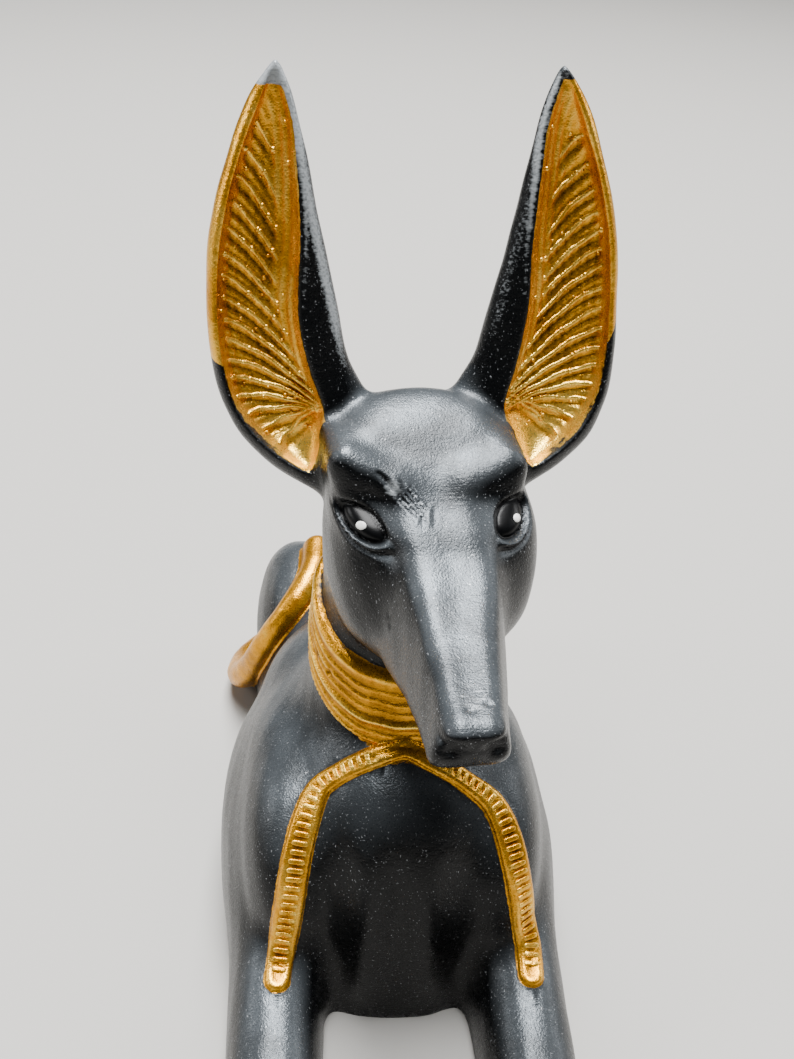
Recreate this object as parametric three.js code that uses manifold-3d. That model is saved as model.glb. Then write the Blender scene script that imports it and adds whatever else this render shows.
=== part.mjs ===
// Recumbent jackal, the animal of Anubis: a figure cast in one piece and flat underneath.
// Millimetres, +Z up, the face looks towards -Y, the origin lies under the middle of the figure.
import * as THREE from 'three';
import { mergeVertices } from 'three/addons/utils/BufferGeometryUtils.js';
import Module from 'manifold-3d';

// Sizes that can be set by themselves
const height = 180;          // underside to the tips of the ears
const collarWidth = 12.8;    // up the neck
const collarRise = 1.6;      // above the neck's skin
const collarRidges = 5;      // raised rings round the collar
const ridgeRise = 0.35;      // ridge above and groove below the collar's face
const ribbonWidth = 5.6;     // at its widest
const ribbonRise = 1.1;      // above the chest
const tailWidth = 8;         // along the ground
const earHollow = 4.6;       // depth of the ear's gold hollow
const eyeLength = 10.2;      // corner to corner
const eyeRise = 1.3;         // ball above its socket

// Fineness of the facets
const gridStep = 1.2;        // spacing of the grid on which the skin is found, in 180ths of the height
const faceCount = 9300;      // triangles left once flat stretches are thinned out
const sawDepth = 3;          // casting left below the underside before the flat cut

// Every table and place below is in 180ths of the height, so the pose grows with it
const share = height / 180;

const blackPaint = { color: 0x17191b, roughness: 0.42, metalness: 0 };

const { abs, cos, exp, hypot, max, min, pow, sign, sin, sqrt, PI } = Math;
const clamp = (value, low, high) => min(max(value, low), high);
const bell = (q) => exp(-q);

// Joins with a fillet of width k, and cuts with one
const blend = (a, b, k) => {
  const h = max(k - abs(a - b), 0) / k;
  return min(a, b) - h * h * k * 0.25;
};
const carve = (a, b, k) => -blend(-a, -b, k);

// Distance to an egg of half sizes a, b, c, whose corners fill out as n rises above 2
function egg(x, y, z, a, b, c, n) {
  const u = abs(x) / a + 1e-9;
  const v = abs(y) / b + 1e-9;
  const w = abs(z) / c + 1e-9;
  const un = pow(u, n - 1);
  const vn = pow(v, n - 1);
  const wn = pow(w, n - 1);
  const k = pow(un * u + vn * v + wn * w, 1 / n);
  return (k - 1) / (pow(k, 1 - n) * hypot(un / a, vn / b, wn / c));
}

// The same for a section that runs on along its third axis
function oval(x, y, a, b, n) {
  const u = abs(x) / a + 1e-9;
  const v = abs(y) / b + 1e-9;
  const un = pow(u, n - 1);
  const vn = pow(v, n - 1);
  const k = pow(un * u + vn * v, 1 / n);
  return (k - 1) / (pow(k, 1 - n) * hypot(un / a, vn / b));
}

// A smooth line through a few stations: station places, then values there
function profile(places, values) {
  const last = places.length - 1;
  const slopes = values.map((value, i) => {
    const before = max(i - 1, 0);
    const after = min(i + 1, last);
    const left = (value - values[before]) / (places[i] - places[before] || 1);
    const right = (values[after] - value) / (places[after] - places[i] || 1);
    if (i === 0) return right;
    if (i === last) return left;
    const run = places[after] - places[before];
    return (left * (places[after] - places[i]) + right * (places[i] - places[before])) / run;
  });
  return (place) => {
    const t = clamp(place, places[0], places[last]);
    let i = 0;
    while (i < last - 1 && t > places[i + 1]) i += 1;
    const h = places[i + 1] - places[i];
    const u = (t - places[i]) / h;
    const from = (1 + 2 * u) * (1 - u) * (1 - u) * values[i] + u * (1 - u) * (1 - u) * h * slopes[i];
    return from + u * u * (3 - 2 * u) * values[i + 1] + u * u * (u - 1) * h * slopes[i + 1];
  };
}

// A rod whose thickness runs from ra to rb
function rod(x, y, z, a, b, ra, rb) {
  const dx = b.x - a.x;
  const dy = b.y - a.y;
  const dz = b.z - a.z;
  const along = ((x - a.x) * dx + (y - a.y) * dy + (z - a.z) * dz) / (dx * dx + dy * dy + dz * dz);
  const h = clamp(along, 0, 1);
  return hypot(x - a.x - h * dx, y - a.y - h * dy, z - a.z - h * dz) - ra - (rb - ra) * h;
}

// A smooth path through hand-picked points, as short rods with a thickness for each share of the way
function path(points, pieces, radius) {
  const places = points.map((p) => new THREE.Vector3(...p));
  const line = new THREE.CatmullRomCurve3(places, false, 'catmullrom', 0.5);
  const stops = line.getPoints(pieces);
  const radii = stops.map((stop, i) => radius(i / pieces));
  const box = new THREE.Box3().setFromPoints(stops);
  return (x, y, z) => {
    const away = hypot(
      max(box.min.x - x, x - box.max.x, 0),
      max(box.min.y - y, y - box.max.y, 0),
      max(box.min.z - z, z - box.max.z, 0));
    if (away > 24) return away - 6;
    let best = Infinity;
    for (let i = 0; i < pieces; i += 1) {
      best = min(best, rod(x, y, z, stops[i], stops[i + 1], radii[i], radii[i + 1]));
    }
    return best;
  };
}

// Body: chest, throat, shoulders, upper arms, withers, barrel, haunches and knees
function trunk(x, y, z) {
  const side = abs(x + 1.1 * clamp((z - 6) / 22, 0, 1));
  let d = egg(x, y + 6.5, z - 13, 20.5, 32.6, 45, 3);
  d = blend(d, egg(x, y + 5, z - 39, 24, 26.5, 20.5, 2.3), 6);
  d = blend(d, egg(side - 21.5, y + 9.5, z - 23, 11.5, 28.5, 29, 2.3), 7);
  d = blend(d, egg(side - 24.4, y - 4, z - 12, 13.2, 32, 24, 2.3), 7);
  d = blend(d, egg(x + 1, y - 15, z - 25, 30, 35, 30.5, 2.6), 7);
  d = blend(d, egg(x, y - 36, z - 13, 26.5, 57, 32, 2.4), 9);
  d = blend(d, egg(side - 18.3, y - 71, z - 16, 12.9, 22.5, 28.8, 2.45), 6);
  return blend(d, egg(side - 22, y - 52, z - 6, 8.5, 18, 14, 2.2), 6);
}

// Hind feet lie along the flanks
function hindFoot(x, y, z) {
  const top = 9 + 4 * clamp((y - 26) / 40, 0, 1);
  return carve(oval(abs(x) - 24, z + 2, 6.8, top, 2.5), abs(y - 41) - 25, 7);
}

// Forelegs stretch straight ahead, each ending in a paw with three grooves between its toes
const armTop = profile([-96, -86, -72, -50, -30, -10], [9.5, 12.5, 14, 18.5, 24, 30]);
const armHalf = profile([-96, -86, -72, -50, -30, -10], [9.6, 10.4, 9.6, 9.8, 10.4, 11]);
const armSide = profile([-96, -60, -30, -10], [25.4, 25.6, 25, 23.5]);
const toePitch = 4.6;
function foreleg(x, y, z) {
  const across = abs(x) - armSide(y);
  const d = carve(oval(across, z + 2, armHalf(y), armTop(y) + 2, 2.6), abs(y + 50) - 46, 9);
  const paw = bell(pow(max(y + 92, 0) / 7, 2)) * clamp((z - 1) / 4, 0, 1);
  const grooves = [-1, 0, 1].reduce((sum, i) => sum + bell(pow((across - i * toePitch) / 0.9, 2)), 0);
  return d + 0.9 * paw * grooves;
}

// Neck, leaning forward as it goes down to the chest
const throatLine = profile([36, 48, 58, 66, 76, 88, 104], [-30, -24.5, -19.6, -17.6, -15.4, -13.5, -12]);
const napeLine = profile([36, 48, 58, 66, 76, 88, 104], [34, 29, 24.5, 21.5, 19, 17.5, 17]);
const neckHalf = profile([36, 48, 58, 66, 76, 88, 104], [21, 20, 18.4, 17.5, 16.8, 15.8, 14.8]);
function neck(x, y, z) {
  const front = throatLine(z);
  const back = napeLine(z);
  const d = oval(x, y - (front + back) / 2, neckHalf(z), (back - front) / 2, 2.1);
  return carve(d, abs(z - 70) - 34, 8);
}

// Head, before its slight turn to one side
const turn = THREE.MathUtils.degToRad(4.3);
const turnPlace = 25;
const browIn = new THREE.Vector3(8.2, -9.6, 113.6);
const browOut = new THREE.Vector3(15.4, -6.8, 116.8);
const browBack = new THREE.Vector3(17, 4, 117);
const browRadii = [3.4, 3.2, 1.6];
const browGap = 3;           // rounds off the valley between the brows
const browTilt = 0.05;       // the brow sits a little higher on the left
const eyeCentre = new THREE.Vector3(15.1, -15.2, 109.3);
const eyeAlong = new THREE.Vector3(7.1, 8.5, 2.9).normalize();
const eyeOut = new THREE.Vector3(0.7, -0.64, 0.3).projectOnPlane(eyeAlong).normalize();
const eyeUp = new THREE.Vector3().crossVectors(eyeOut, eyeAlong);
const eyeHalf = eyeLength / 2 / share;
const lidUp = 2.5;
const lidDown = 2.2;

// How far the carving of brow, socket, eye and lids stands out from the plain head
function faceCarving(side, y, z) {
  const px = side - eyeCentre.x;
  const py = y - eyeCentre.y;
  const pz = z - eyeCentre.z;
  const u = px * eyeAlong.x + py * eyeAlong.y + pz * eyeAlong.z;
  const v = px * eyeUp.x + py * eyeUp.y + pz * eyeUp.z;
  const w = px * eyeOut.x + py * eyeOut.y + pz * eyeOut.z;
  const near = bell(pow(w / 6, 2));
  const rim = hypot(u / eyeHalf, v / (v > 0 ? lidUp : lidDown));      // 1 on the lids' edge
  const underBrow = bell(pow((side - 11.5) / 4.6, 2) + pow((y + 15.6) / 5, 2) + pow((z - 112.2) / 3, 2));
  const besideNose = bell(pow((side - 9.6) / 2.6, 2) + pow((y + 20.5) / 5, 2) + pow((z - 107.6) / 3, 2));
  const socket = bell(pow(max(rim - 0.92, 0) / 0.34, 2));
  const ball = sqrt(max(1 - pow(rim / 0.95, 2), 0));
  const lids = bell(pow((rim - 1.28) / 0.2, 2)) * (0.15 + 0.85 * clamp((1 - v) / 1.6, 0, 1));
  const crease = bell(pow((rim - 1.58) / 0.2, 2)) * clamp(-v / 1.5, 0, 1);
  return -1.4 * underBrow - 0.6 * besideNose
    + near * (-1.5 * socket + (eyeRise / share) * ball + 0.9 * lids - 0.55 * crease);
}

// Forehead and muzzle: the line over the top, then the section's half widths and middles
const foreheadTop = profile([-24, -18, -14.2, -12.6, -10.8, -7.6, -3.6, 1, 8, 22],
  [107.5, 109.9, 112.2, 113.4, 114.9, 117.5, 120.4, 122.8, 125.3, 127.5]);
const muzzleTop = profile([-66, -58, -40, -28, -20, -14, -8], [101.2, 101.5, 103.5, 106.4, 109.3, 112.2, 115.5]);
const muzzleLow = profile([-66, -58, -40, -26, -12, 0], [92.4, 90.8, 86.5, 82.5, 80, 80]);
const muzzleCrest = profile([-66, -58, -40, -26, -12, 0], [4.1, 4.5, 6.6, 9, 11.2, 12.3]);
const muzzleFoot = profile([-66, -58, -40, -26, -12, 0], [8, 8.2, 10.3, 12.6, 14.6, 15.6]);
const crestLine = profile([-66, -44, -27, -12, 0], [-0.8, 0.7, 1.8, 1.9, 1.5]);
const footLine = profile([-66, -40, -20, 0], [-1.7, 0.9, 1, 0.5]);
const noseFront = -62.3;
const faceSway = 2;          // the face leans over a little below the brow
function head(x, y, z) {
  const across = x - faceSway * bell(pow(max(z - 103, 0) / 7, 2));
  const side = abs(across);
  let d = egg(across, y - 0.5, z - 103.8, 19.4, 21, 21.3, 2.5);
  d = carve(d, z - foreheadTop(y), 3);
  const bx = hypot(x, browGap);
  const bz = z + browTilt * x;
  const brow = min(
    rod(bx, y, bz, browIn, browOut, browRadii[0], browRadii[1]),
    rod(bx, y, bz, browOut, browBack, browRadii[1], browRadii[2]));
  d = blend(d, brow, 4);
  d = blend(d, egg(side - 8, y + 6, z - 95, 11.6, 16, 15, 2.4), 5);
  const top = muzzleTop(y);
  const low = muzzleLow(y);
  const up = clamp((z - low) / (top - low), 0, 1);
  const half = muzzleFoot(y) + (muzzleCrest(y) - muzzleFoot(y)) * up;
  const lean = x - footLine(y) - (crestLine(y) - footLine(y)) * up;
  let muzzle = oval(lean, z - (top + 2 + low) / 2, half, (top + 2 - low) / 2, 3.4);
  muzzle = carve(muzzle, z - top + 0.3 * bell(pow(lean / 3, 2)), 2.2);
  muzzle = carve(muzzle, noseFront + 0.25 * max(0, 96 - z) - y, 3.2);
  d = blend(d, carve(muzzle, y + 2, 3), 5);
  const nostril = hypot((abs(x + 0.6) - 3.4) / 1.5, (y + 62) / 2.2, (z - 96.4) / 1.1);
  return d - faceCarving(side, y, z) + 1.1 * bell(nostril * nostril);
}

// Ears: outer edge, inner edge, and the edges of the gold hollow, going up
const earOuter = profile([101, 107, 113, 120, 130, 141, 153, 166, 176, 181.4],
  [17, 27.7, 34.2, 37.7, 39.3, 39.4, 38.1, 34.3, 30, 26]);
const earInner = profile([101, 114, 120, 128, 138, 153, 168, 176, 181.4],
  [4, 5.5, 7.7, 12, 14.5, 18, 21.1, 23.2, 25.6]);
const earThick = profile([101, 112, 125, 140, 160, 174, 181.4], [6, 7.2, 7, 5.6, 4.4, 2.8, 0.8]);
const hollowIn = profile([109, 112, 116, 120, 128, 138, 150, 163, 172, 179],
  [21.6, 19.8, 17.8, 17.1, 18.9, 20.9, 21.3, 22.3, 23.3, 25.6]);
const hollowOut = profile([109, 112, 116, 120, 128, 138, 150, 163, 172, 179],
  [22.6, 27.4, 31.8, 34.6, 36.8, 37.2, 36.4, 33.2, 29.8, 26.6]);
const hollowDepth = earHollow / share;
function ear(x, y, z) {
  const side = abs(x);
  const lobe = sign(x) * 3.4 * bell(pow((z - 100) / 26, 2));       // the ear on +X is fuller at its foot
  const out = earOuter(z) + 0.7 * lobe;
  const inn = earInner(z) - 0.35 * lobe;
  const half = max((out - inn) / 2, 0.3);
  const thick = earThick(z);
  const middle = 10 + 0.17 * (z - 105);
  const across = side - (out + inn) / 2;
  let d = oval(across, y - middle, half, thick, 2.15);
  const foot = bell(pow((z - 108) / 8, 2));
  const goldOut = hollowOut(z) + 0.5 * lobe;
  const narrow = x < 0 ? 1.7 * bell(pow((z - 134) / 18, 2)) : 0;
  const goldIn = hollowIn(z) + 0.5 * lobe * foot + narrow;
  const goldHalf = max((goldOut - goldIn) / 2, 0.15);
  const rim = middle - thick * (0.7 - 0.31 * across / half);
  const depth = blend(hollowDepth, goldHalf * 0.8, 1.5);
  let hollow = oval(side - (goldOut + goldIn) / 2, max(y - rim, 0), goldHalf, depth, 2);
  hollow = carve(hollow, abs(z - 144.2) - 35.2, 1.5);
  d = carve(d, -hollow, 1.4);
  return carve(d, abs(z - 141.2) - 40.2, 2);
}

// Tail: round the back of one haunch on the ground, then up over its thigh to a tuft
const tailHalf = tailWidth / 2 / share;
const tailTaper = profile([0, 0.2, 0.45, 0.56, 0.7, 0.84, 0.94, 1], [1.25, 1.05, 1, 0.85, 0.72, 0.78, 0.92, 1]);
const tail = path([
  [0, 90, 34], [-12, 93.5, 18], [-24.5, 89, 6.5], [-34, 79.5, 4.4], [-36.2, 71.5, 5.8], [-35.6, 64, 10.4],
  [-33.2, 58.5, 18], [-30, 53.9, 28], [-23.6, 53.5, 39], [-17.2, 62, 44.8], [-15.6, 73, 45.6],
], 30, (part) => tailHalf * tailTaper(part));

// Ribbons hang from the collar, down both sides of the chest to the forelegs
const ribbonHalf = ribbonWidth / 2 / share;
const ribbonTaper = profile([0, 0.3, 0.6, 0.85, 1], [0.68, 0.8, 1, 1, 0.86]);
const ribbonRadius = (part) => ribbonHalf * ribbonTaper(part);
const leftRibbon = path([
  [0.2, -20.7, 60], [-7.7, -21.9, 57.7], [-14.6, -22.4, 53.4], [-17.6, -24.1, 50.6], [-20.5, -30.5, 44.9],
  [-22.5, -36.5, 34.6], [-23.8, -38.3, 25], [-24.9, -43.9, 20.1],
], 18, ribbonRadius);
const rightRibbon = path([
  [0.2, -20.7, 60], [7.3, -22.9, 57.2], [12.5, -24.1, 53.9], [17.6, -25.7, 50.1], [20.4, -29.2, 46.6],
  [22.4, -33.2, 41], [24.2, -36, 32.5], [26.1, -38.1, 22.9], [26.1, -44.3, 20],
], 18, ribbonRadius);

// Collar: a ridged band round the neck, low in front
const collarTilt = THREE.MathUtils.degToRad(24);
function collar(y, z, neckSkin) {
  const up = (z - 73) * cos(collarTilt) - (y + 4) * sin(collarTilt) - 0.4;
  const pitch = collarWidth / share / collarRidges;
  const ridge = (ridgeRise / share) * cos((2 * PI * up) / pitch);
  return carve(neckSkin - collarRise / share - ridge, abs(up) - collarWidth / share / 2, 1);
}

// Signed distance to the whole casting, negative inside, in 180ths of the height
function figure(x, y, z) {
  const neckSkin = neck(x, y, z);
  let d = blend(trunk(x, y, z), hindFoot(x, y, z), 3);
  d = blend(d, foreleg(x, y, z), 6);
  d = blend(d, neckSkin, 6);
  const straps = min(leftRibbon(x, y, z), rightRibbon(x, y, z));
  const ribbonSkin = carve(d - ribbonRise / share, straps, 0.8);
  d = min(d, ribbonSkin, collar(y, z, neckSkin));
  const hx = cos(turn) * x + sin(turn) * (y - turnPlace);
  const hy = -sin(turn) * x + cos(turn) * (y - turnPlace) + turnPlace;
  d = blend(d, blend(head(hx, hy, z), ear(hx, hy, z), 3), 3);
  const web = 1 + 6 * bell(pow(max(z, 0) / 7, 2));      // the tail runs into the haunch along the ground
  return blend(d, tail(x, y, z), web);
}

const casting = (x, y, z) => max(share * figure(x / share, y / share, z / share), -sawDepth - z);

// Values of the casting on a grid; blocks well off the skin take one value for all their points
function sampleGrid(low, counts, step) {
  const [nx, ny, nz] = counts;
  const block = 6;
  const reach = block * step;
  const values = new Float32Array(nx * ny * nz);
  const place = (i, j, k) => [low[0] + i * step, low[1] + j * step, low[2] + k * step];
  for (let bi = 0; bi < nx; bi += block) {
    for (let bj = 0; bj < ny; bj += block) {
      for (let bk = 0; bk < nz; bk += block) {
        const middle = casting(...place(bi + block / 2, bj + block / 2, bk + block / 2));
        for (let i = bi; i < min(bi + block, nx); i += 1) {
          for (let j = bj; j < min(bj + block, ny); j += 1) {
            for (let k = bk; k < min(bk + block, nz); k += 1) {
              values[(i * ny + j) * nz + k] = abs(middle) > reach ? middle : casting(...place(i, j, k));
            }
          }
        }
      }
    }
  }
  return values;
}

// Where two sheets of skin would share an edge or a point, the weakest of the corners there changes
// sides, so that the net stays one plain closed skin
function partSheets(values, [nx, ny, nz], stride) {
  const diagonals = [[0, 1], [0, 2], [1, 2]].map(([a, b]) => [stride[a], stride[b]]);
  const whole = stride[0] + stride[1] + stride[2];
  const swap = (points) => {
    const weakest = points.reduce((best, p) => (abs(values[p]) < abs(values[best]) ? p : best));
    values[weakest] = values[weakest] < 0 ? 0.02 : -0.02;
  };
  let changed = true;
  for (let pass = 0; changed && pass < 20; pass += 1) {
    changed = false;
    for (let i = 0; i < nx - 1; i += 1) {
      for (let j = 0; j < ny - 1; j += 1) {
        for (let k = 0; k < nz - 1; k += 1) {
          const p = i * stride[0] + j * stride[1] + k;
          if (abs(values[p]) > 3 * gridStep) continue;
          for (const [s, t] of diagonals) {
            if (values[p + s + t] < 0 !== values[p] < 0) continue;
            if (values[p + s] < 0 === values[p] < 0 || values[p + t] < 0 === values[p] < 0) continue;
            swap([p, p + s, p + t, p + s + t]);
            changed = true;
          }
          for (const s of [0, ...stride]) {
            const from = p + s;
            const to = p + whole - s;
            const side = values[from] < 0;
            if (values[to] < 0 !== side) continue;
            const others = [0, ...stride].flatMap((t) => [p + t, p + whole - t])
              .filter((q) => q !== from && q !== to);
            if (others.some((q) => values[q] < 0 === side)) continue;
            swap([from, to]);
            changed = true;
          }
        }
      }
    }
  }
}

// Surface net: one vertex in each cell that the skin passes, one pair of triangles for each crossed edge
function surfaceNet(low, counts, step) {
  const values = sampleGrid(low, counts, step);
  const [nx, ny, nz] = counts;
  const stride = [ny * nz, nz, 1];
  partSheets(values, counts, stride);
  const vertexOf = new Int32Array(nx * ny * nz).fill(-1);
  const positions = [];
  const triangles = [];
  const corners = [0, 1, 2, 3, 4, 5, 6, 7].map((c) => [c >> 2, (c >> 1) & 1, c & 1]);
  const edges = [];
  corners.forEach((a, i) => corners.forEach((b, j) => {
    if (j > i && abs(a[0] - b[0]) + abs(a[1] - b[1]) + abs(a[2] - b[2]) === 1) edges.push([i, j]);
  }));
  const offset = corners.map((c) => c[0] * stride[0] + c[1] * stride[1] + c[2]);
  for (let i = 0; i < nx - 1; i += 1) {
    for (let j = 0; j < ny - 1; j += 1) {
      for (let k = 0; k < nz - 1; k += 1) {
        const cell = i * stride[0] + j * stride[1] + k;
        const sum = [0, 0, 0];
        let crossings = 0;
        for (const [a, b] of edges) {
          const va = values[cell + offset[a]];
          const vb = values[cell + offset[b]];
          if (va < 0 === vb < 0) continue;
          const t = va / (va - vb);
          for (let axis = 0; axis < 3; axis += 1) {
            sum[axis] += corners[a][axis] + (corners[b][axis] - corners[a][axis]) * t;
          }
          crossings += 1;
        }
        if (crossings === 0) continue;
        vertexOf[cell] = positions.length / 3;
        [i, j, k].forEach((at, axis) => positions.push(low[axis] + (at + sum[axis] / crossings) * step));
      }
    }
  }
  for (let i = 1; i < nx - 1; i += 1) {
    for (let j = 1; j < ny - 1; j += 1) {
      for (let k = 1; k < nz - 1; k += 1) {
        const point = i * stride[0] + j * stride[1] + k;
        const inside = values[point] < 0;
        for (let axis = 0; axis < 3; axis += 1) {
          if (inside === values[point + stride[axis]] < 0) continue;
          const s = stride[(axis + 1) % 3];
          const t = stride[(axis + 2) % 3];
          const ring = [point - s - t, point - t, point, point - s].map((cell) => vertexOf[cell]);
          if (!inside) ring.reverse();
          triangles.push(ring[0], ring[1], ring[2], ring[0], ring[2], ring[3]);
        }
      }
    }
  }
  return { positions: Float64Array.from(positions), triangles: Int32Array.from(triangles) };
}

// Thins a closed mesh to a number of triangles, taking away the edges that change its form least
function thinOut({ positions, triangles }, target) {
  const vertexCount = positions.length / 3;
  const around = Array.from({ length: vertexCount }, () => new Set());
  const quadrics = new Float64Array(vertexCount * 10);
  const version = new Int32Array(vertexCount);
  const point = (v) => [positions[3 * v], positions[3 * v + 1], positions[3 * v + 2]];
  const faceNormal = (a, b, c) => {
    const ux = b[0] - a[0];
    const uy = b[1] - a[1];
    const uz = b[2] - a[2];
    const vx = c[0] - a[0];
    const vy = c[1] - a[1];
    const vz = c[2] - a[2];
    return [uy * vz - uz * vy, uz * vx - ux * vz, ux * vy - uy * vx];
  };
  let left = triangles.length / 3;
  for (let f = 0; f < left; f += 1) {
    const ids = [triangles[3 * f], triangles[3 * f + 1], triangles[3 * f + 2]];
    const corners = ids.map(point);
    const n = faceNormal(...corners);
    const area = hypot(...n) || 1e-12;
    const [a, b, c] = n.map((part) => part / area);
    const d = -(a * corners[0][0] + b * corners[0][1] + c * corners[0][2]);
    const plane = [a * a, a * b, a * c, a * d, b * b, b * c, b * d, c * c, c * d, d * d];
    for (const id of ids) {
      around[id].add(f);
      plane.forEach((part, i) => { quadrics[10 * id + i] += part * area; });
    }
  }
  const costAt = (q, [x, y, z]) => q[0] * x * x + q[4] * y * y + q[7] * z * z + q[9]
    + 2 * (q[1] * x * y + q[2] * x * z + q[5] * y * z + q[3] * x + q[6] * y + q[8] * z);
  const merged = (a, b) => {
    const q = Array.from({ length: 10 }, (_, i) => quadrics[10 * a + i] + quadrics[10 * b + i]);
    const [xx, xy, xz, xd, yy, yz, yd, zz, zd] = q;
    const det = xx * (yy * zz - yz * yz) - xy * (xy * zz - yz * xz) + xz * (xy * yz - yy * xz);
    const pa = point(a);
    const pb = point(b);
    const middle = pa.map((part, i) => (part + pb[i]) / 2);
    let place = middle;
    if (abs(det) > 1e-6) {
      const solved = [
        (-xd * (yy * zz - yz * yz) + xy * (yd * zz - yz * zd) - xz * (yd * yz - yy * zd)) / det,
        (xx * (-yd * zz + yz * zd) + xd * (xy * zz - yz * xz) + xz * (-xy * zd + yd * xz)) / det,
        (xx * (-yy * zd + yd * yz) - xy * (-xy * zd + yd * xz) - xd * (xy * yz - yy * xz)) / det,
      ];
      const shift = hypot(solved[0] - middle[0], solved[1] - middle[1], solved[2] - middle[2]);
      const length = hypot(pa[0] - pb[0], pa[1] - pb[1], pa[2] - pb[2]);
      if (shift < 2 * length) place = solved;
    }
    return { place, cost: max(costAt(q, place), 0) + 1e-9 };
  };
  const heap = [];
  const push = (item) => {
    let i = heap.push(item) - 1;
    while (i > 0 && heap[(i - 1) >> 1].cost > item.cost) {
      heap[i] = heap[(i - 1) >> 1];
      i = (i - 1) >> 1;
    }
    heap[i] = item;
  };
  const pop = () => {
    const first = heap[0];
    const item = heap.pop();
    if (heap.length === 0) return first;
    let i = 0;
    for (;;) {
      let child = 2 * i + 1;
      if (child >= heap.length) break;
      if (child + 1 < heap.length && heap[child + 1].cost < heap[child].cost) child += 1;
      if (heap[child].cost >= item.cost) break;
      heap[i] = heap[child];
      i = child;
    }
    heap[i] = item;
    return first;
  };
  const offer = (a, b) => push({ a, b, stamp: version[a] + version[b], ...merged(a, b) });
  const neighbours = (v) => {
    const found = new Set();
    for (const f of around[v]) for (let i = 0; i < 3; i += 1) found.add(triangles[3 * f + i]);
    found.delete(v);
    return found;
  };
  const turnsOver = (v, other, place) => {
    for (const f of around[v]) {
      const ids = [triangles[3 * f], triangles[3 * f + 1], triangles[3 * f + 2]];
      if (ids.includes(other)) continue;
      const before = faceNormal(...ids.map(point));
      const after = faceNormal(...ids.map((id) => (id === v ? place : point(id))));
      const along = before[0] * after[0] + before[1] * after[1] + before[2] * after[2];
      if (along < 0.3 * hypot(...before) * hypot(...after)) return true;
    }
    return false;
  };
  for (let v = 0; v < vertexCount; v += 1) for (const n of neighbours(v)) if (n > v) offer(v, n);
  while (left > target && heap.length > 0) {
    const { a, b, stamp, place } = pop();
    if (stamp !== version[a] + version[b] || around[a].size === 0 || around[b].size === 0) continue;
    const near = neighbours(a);
    if (!near.has(b)) continue;
    const shared = [...neighbours(b)].filter((n) => near.has(n));
    if (shared.length !== 2 || turnsOver(a, b, place) || turnsOver(b, a, place)) continue;
    for (const f of [...around[b]]) {
      const ids = [triangles[3 * f], triangles[3 * f + 1], triangles[3 * f + 2]];
      if (ids.includes(a)) {
        ids.forEach((id) => around[id].delete(f));
        left -= 1;
      } else {
        triangles[3 * f + ids.indexOf(b)] = a;
        around[a].add(f);
      }
    }
    around[b].clear();
    place.forEach((part, i) => { positions[3 * a + i] = part; });
    for (let i = 0; i < 10; i += 1) quadrics[10 * a + i] += quadrics[10 * b + i];
    version[a] += 1;
    for (const n of neighbours(a)) offer(a, n);
  }
  const kept = new Map();
  const places = [];
  const faces = [];
  const live = new Set(around.flatMap((set) => [...set]));
  for (const f of live) {
    for (let i = 0; i < 3; i += 1) {
      const v = triangles[3 * f + i];
      if (!kept.has(v)) {
        kept.set(v, places.length / 3);
        places.push(...point(v));
      }
      faces.push(kept.get(v));
    }
  }
  return { positions: places, triangles: faces };
}

const wasm = await Module();
wasm.setup();

const solidOf = (positions, triangles) => new wasm.Manifold(new wasm.Mesh({
  numProp: 3,
  vertProperties: Float32Array.from(positions),
  triVerts: Uint32Array.from(triangles),
}));

// Saws a solid flat at z = 0
function sawFlat(solid, reach) {
  const block = new THREE.BoxGeometry(2 * reach, 2 * reach, reach).translate(0, 0, -reach / 2);
  block.deleteAttribute('normal');
  block.deleteAttribute('uv');
  const merged = mergeVertices(block);
  return solid.subtract(solidOf(merged.attributes.position.array, merged.index.array));
}

// Draws the net's points onto the skin itself, along its slope
function settle(positions) {
  const nudge = 0.05;
  for (let i = 0; i < positions.length; i += 3) {
    const [x, y, z] = positions.subarray(i, i + 3);
    const here = casting(x, y, z);
    const slope = [
      casting(x + nudge, y, z) - here,
      casting(x, y + nudge, z) - here,
      casting(x, y, z + nudge) - here,
    ].map((rise) => rise / nudge);
    const steep = max(slope[0] ** 2 + slope[1] ** 2 + slope[2] ** 2, 0.25);
    const most = gridStep * share / 2;
    const move = clamp(here / steep, -most, most);
    slope.forEach((part, axis) => { positions[i + axis] -= move * part; });
  }
}

function figureGeometry() {
  const low = [-46, -104, -6].map((part) => part * share);
  const high = [46, 106, 188].map((part) => part * share);
  const step = gridStep * share;
  const counts = low.map((from, axis) => Math.ceil((high[axis] - from) / step) + 1);
  const net = surfaceNet(low, counts, step);
  settle(net.positions);
  const { positions, triangles } = thinOut(net, faceCount);
  const plane = 0.15;                                   // no vertex stays closer to the saw than this
  for (let i = 2; i < positions.length; i += 3) if (abs(positions[i]) < plane) positions[i] = -plane;
  const mesh = sawFlat(solidOf(positions, triangles), 2 * height).getMesh();
  const geometry = new THREE.BufferGeometry();
  geometry.setAttribute('position', new THREE.BufferAttribute(Float32Array.from(mesh.vertProperties), 3));
  geometry.setIndex(Array.from(mesh.triVerts));
  geometry.computeBoundingBox();
  const middle = geometry.boundingBox.getCenter(new THREE.Vector3());
  geometry.translate(-middle.x, -middle.y, 0);
  geometry.computeVertexNormals();
  return geometry;
}

const figureMesh = new THREE.Mesh(figureGeometry(), new THREE.MeshStandardMaterial(blackPaint));
figureMesh.name = 'jackal_figure';

const model = new THREE.Group();
model.add(figureMesh);

export default model;
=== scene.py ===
import math
import bpy
import bmesh
import numpy as np
from mathutils import Matrix, Vector


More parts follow.
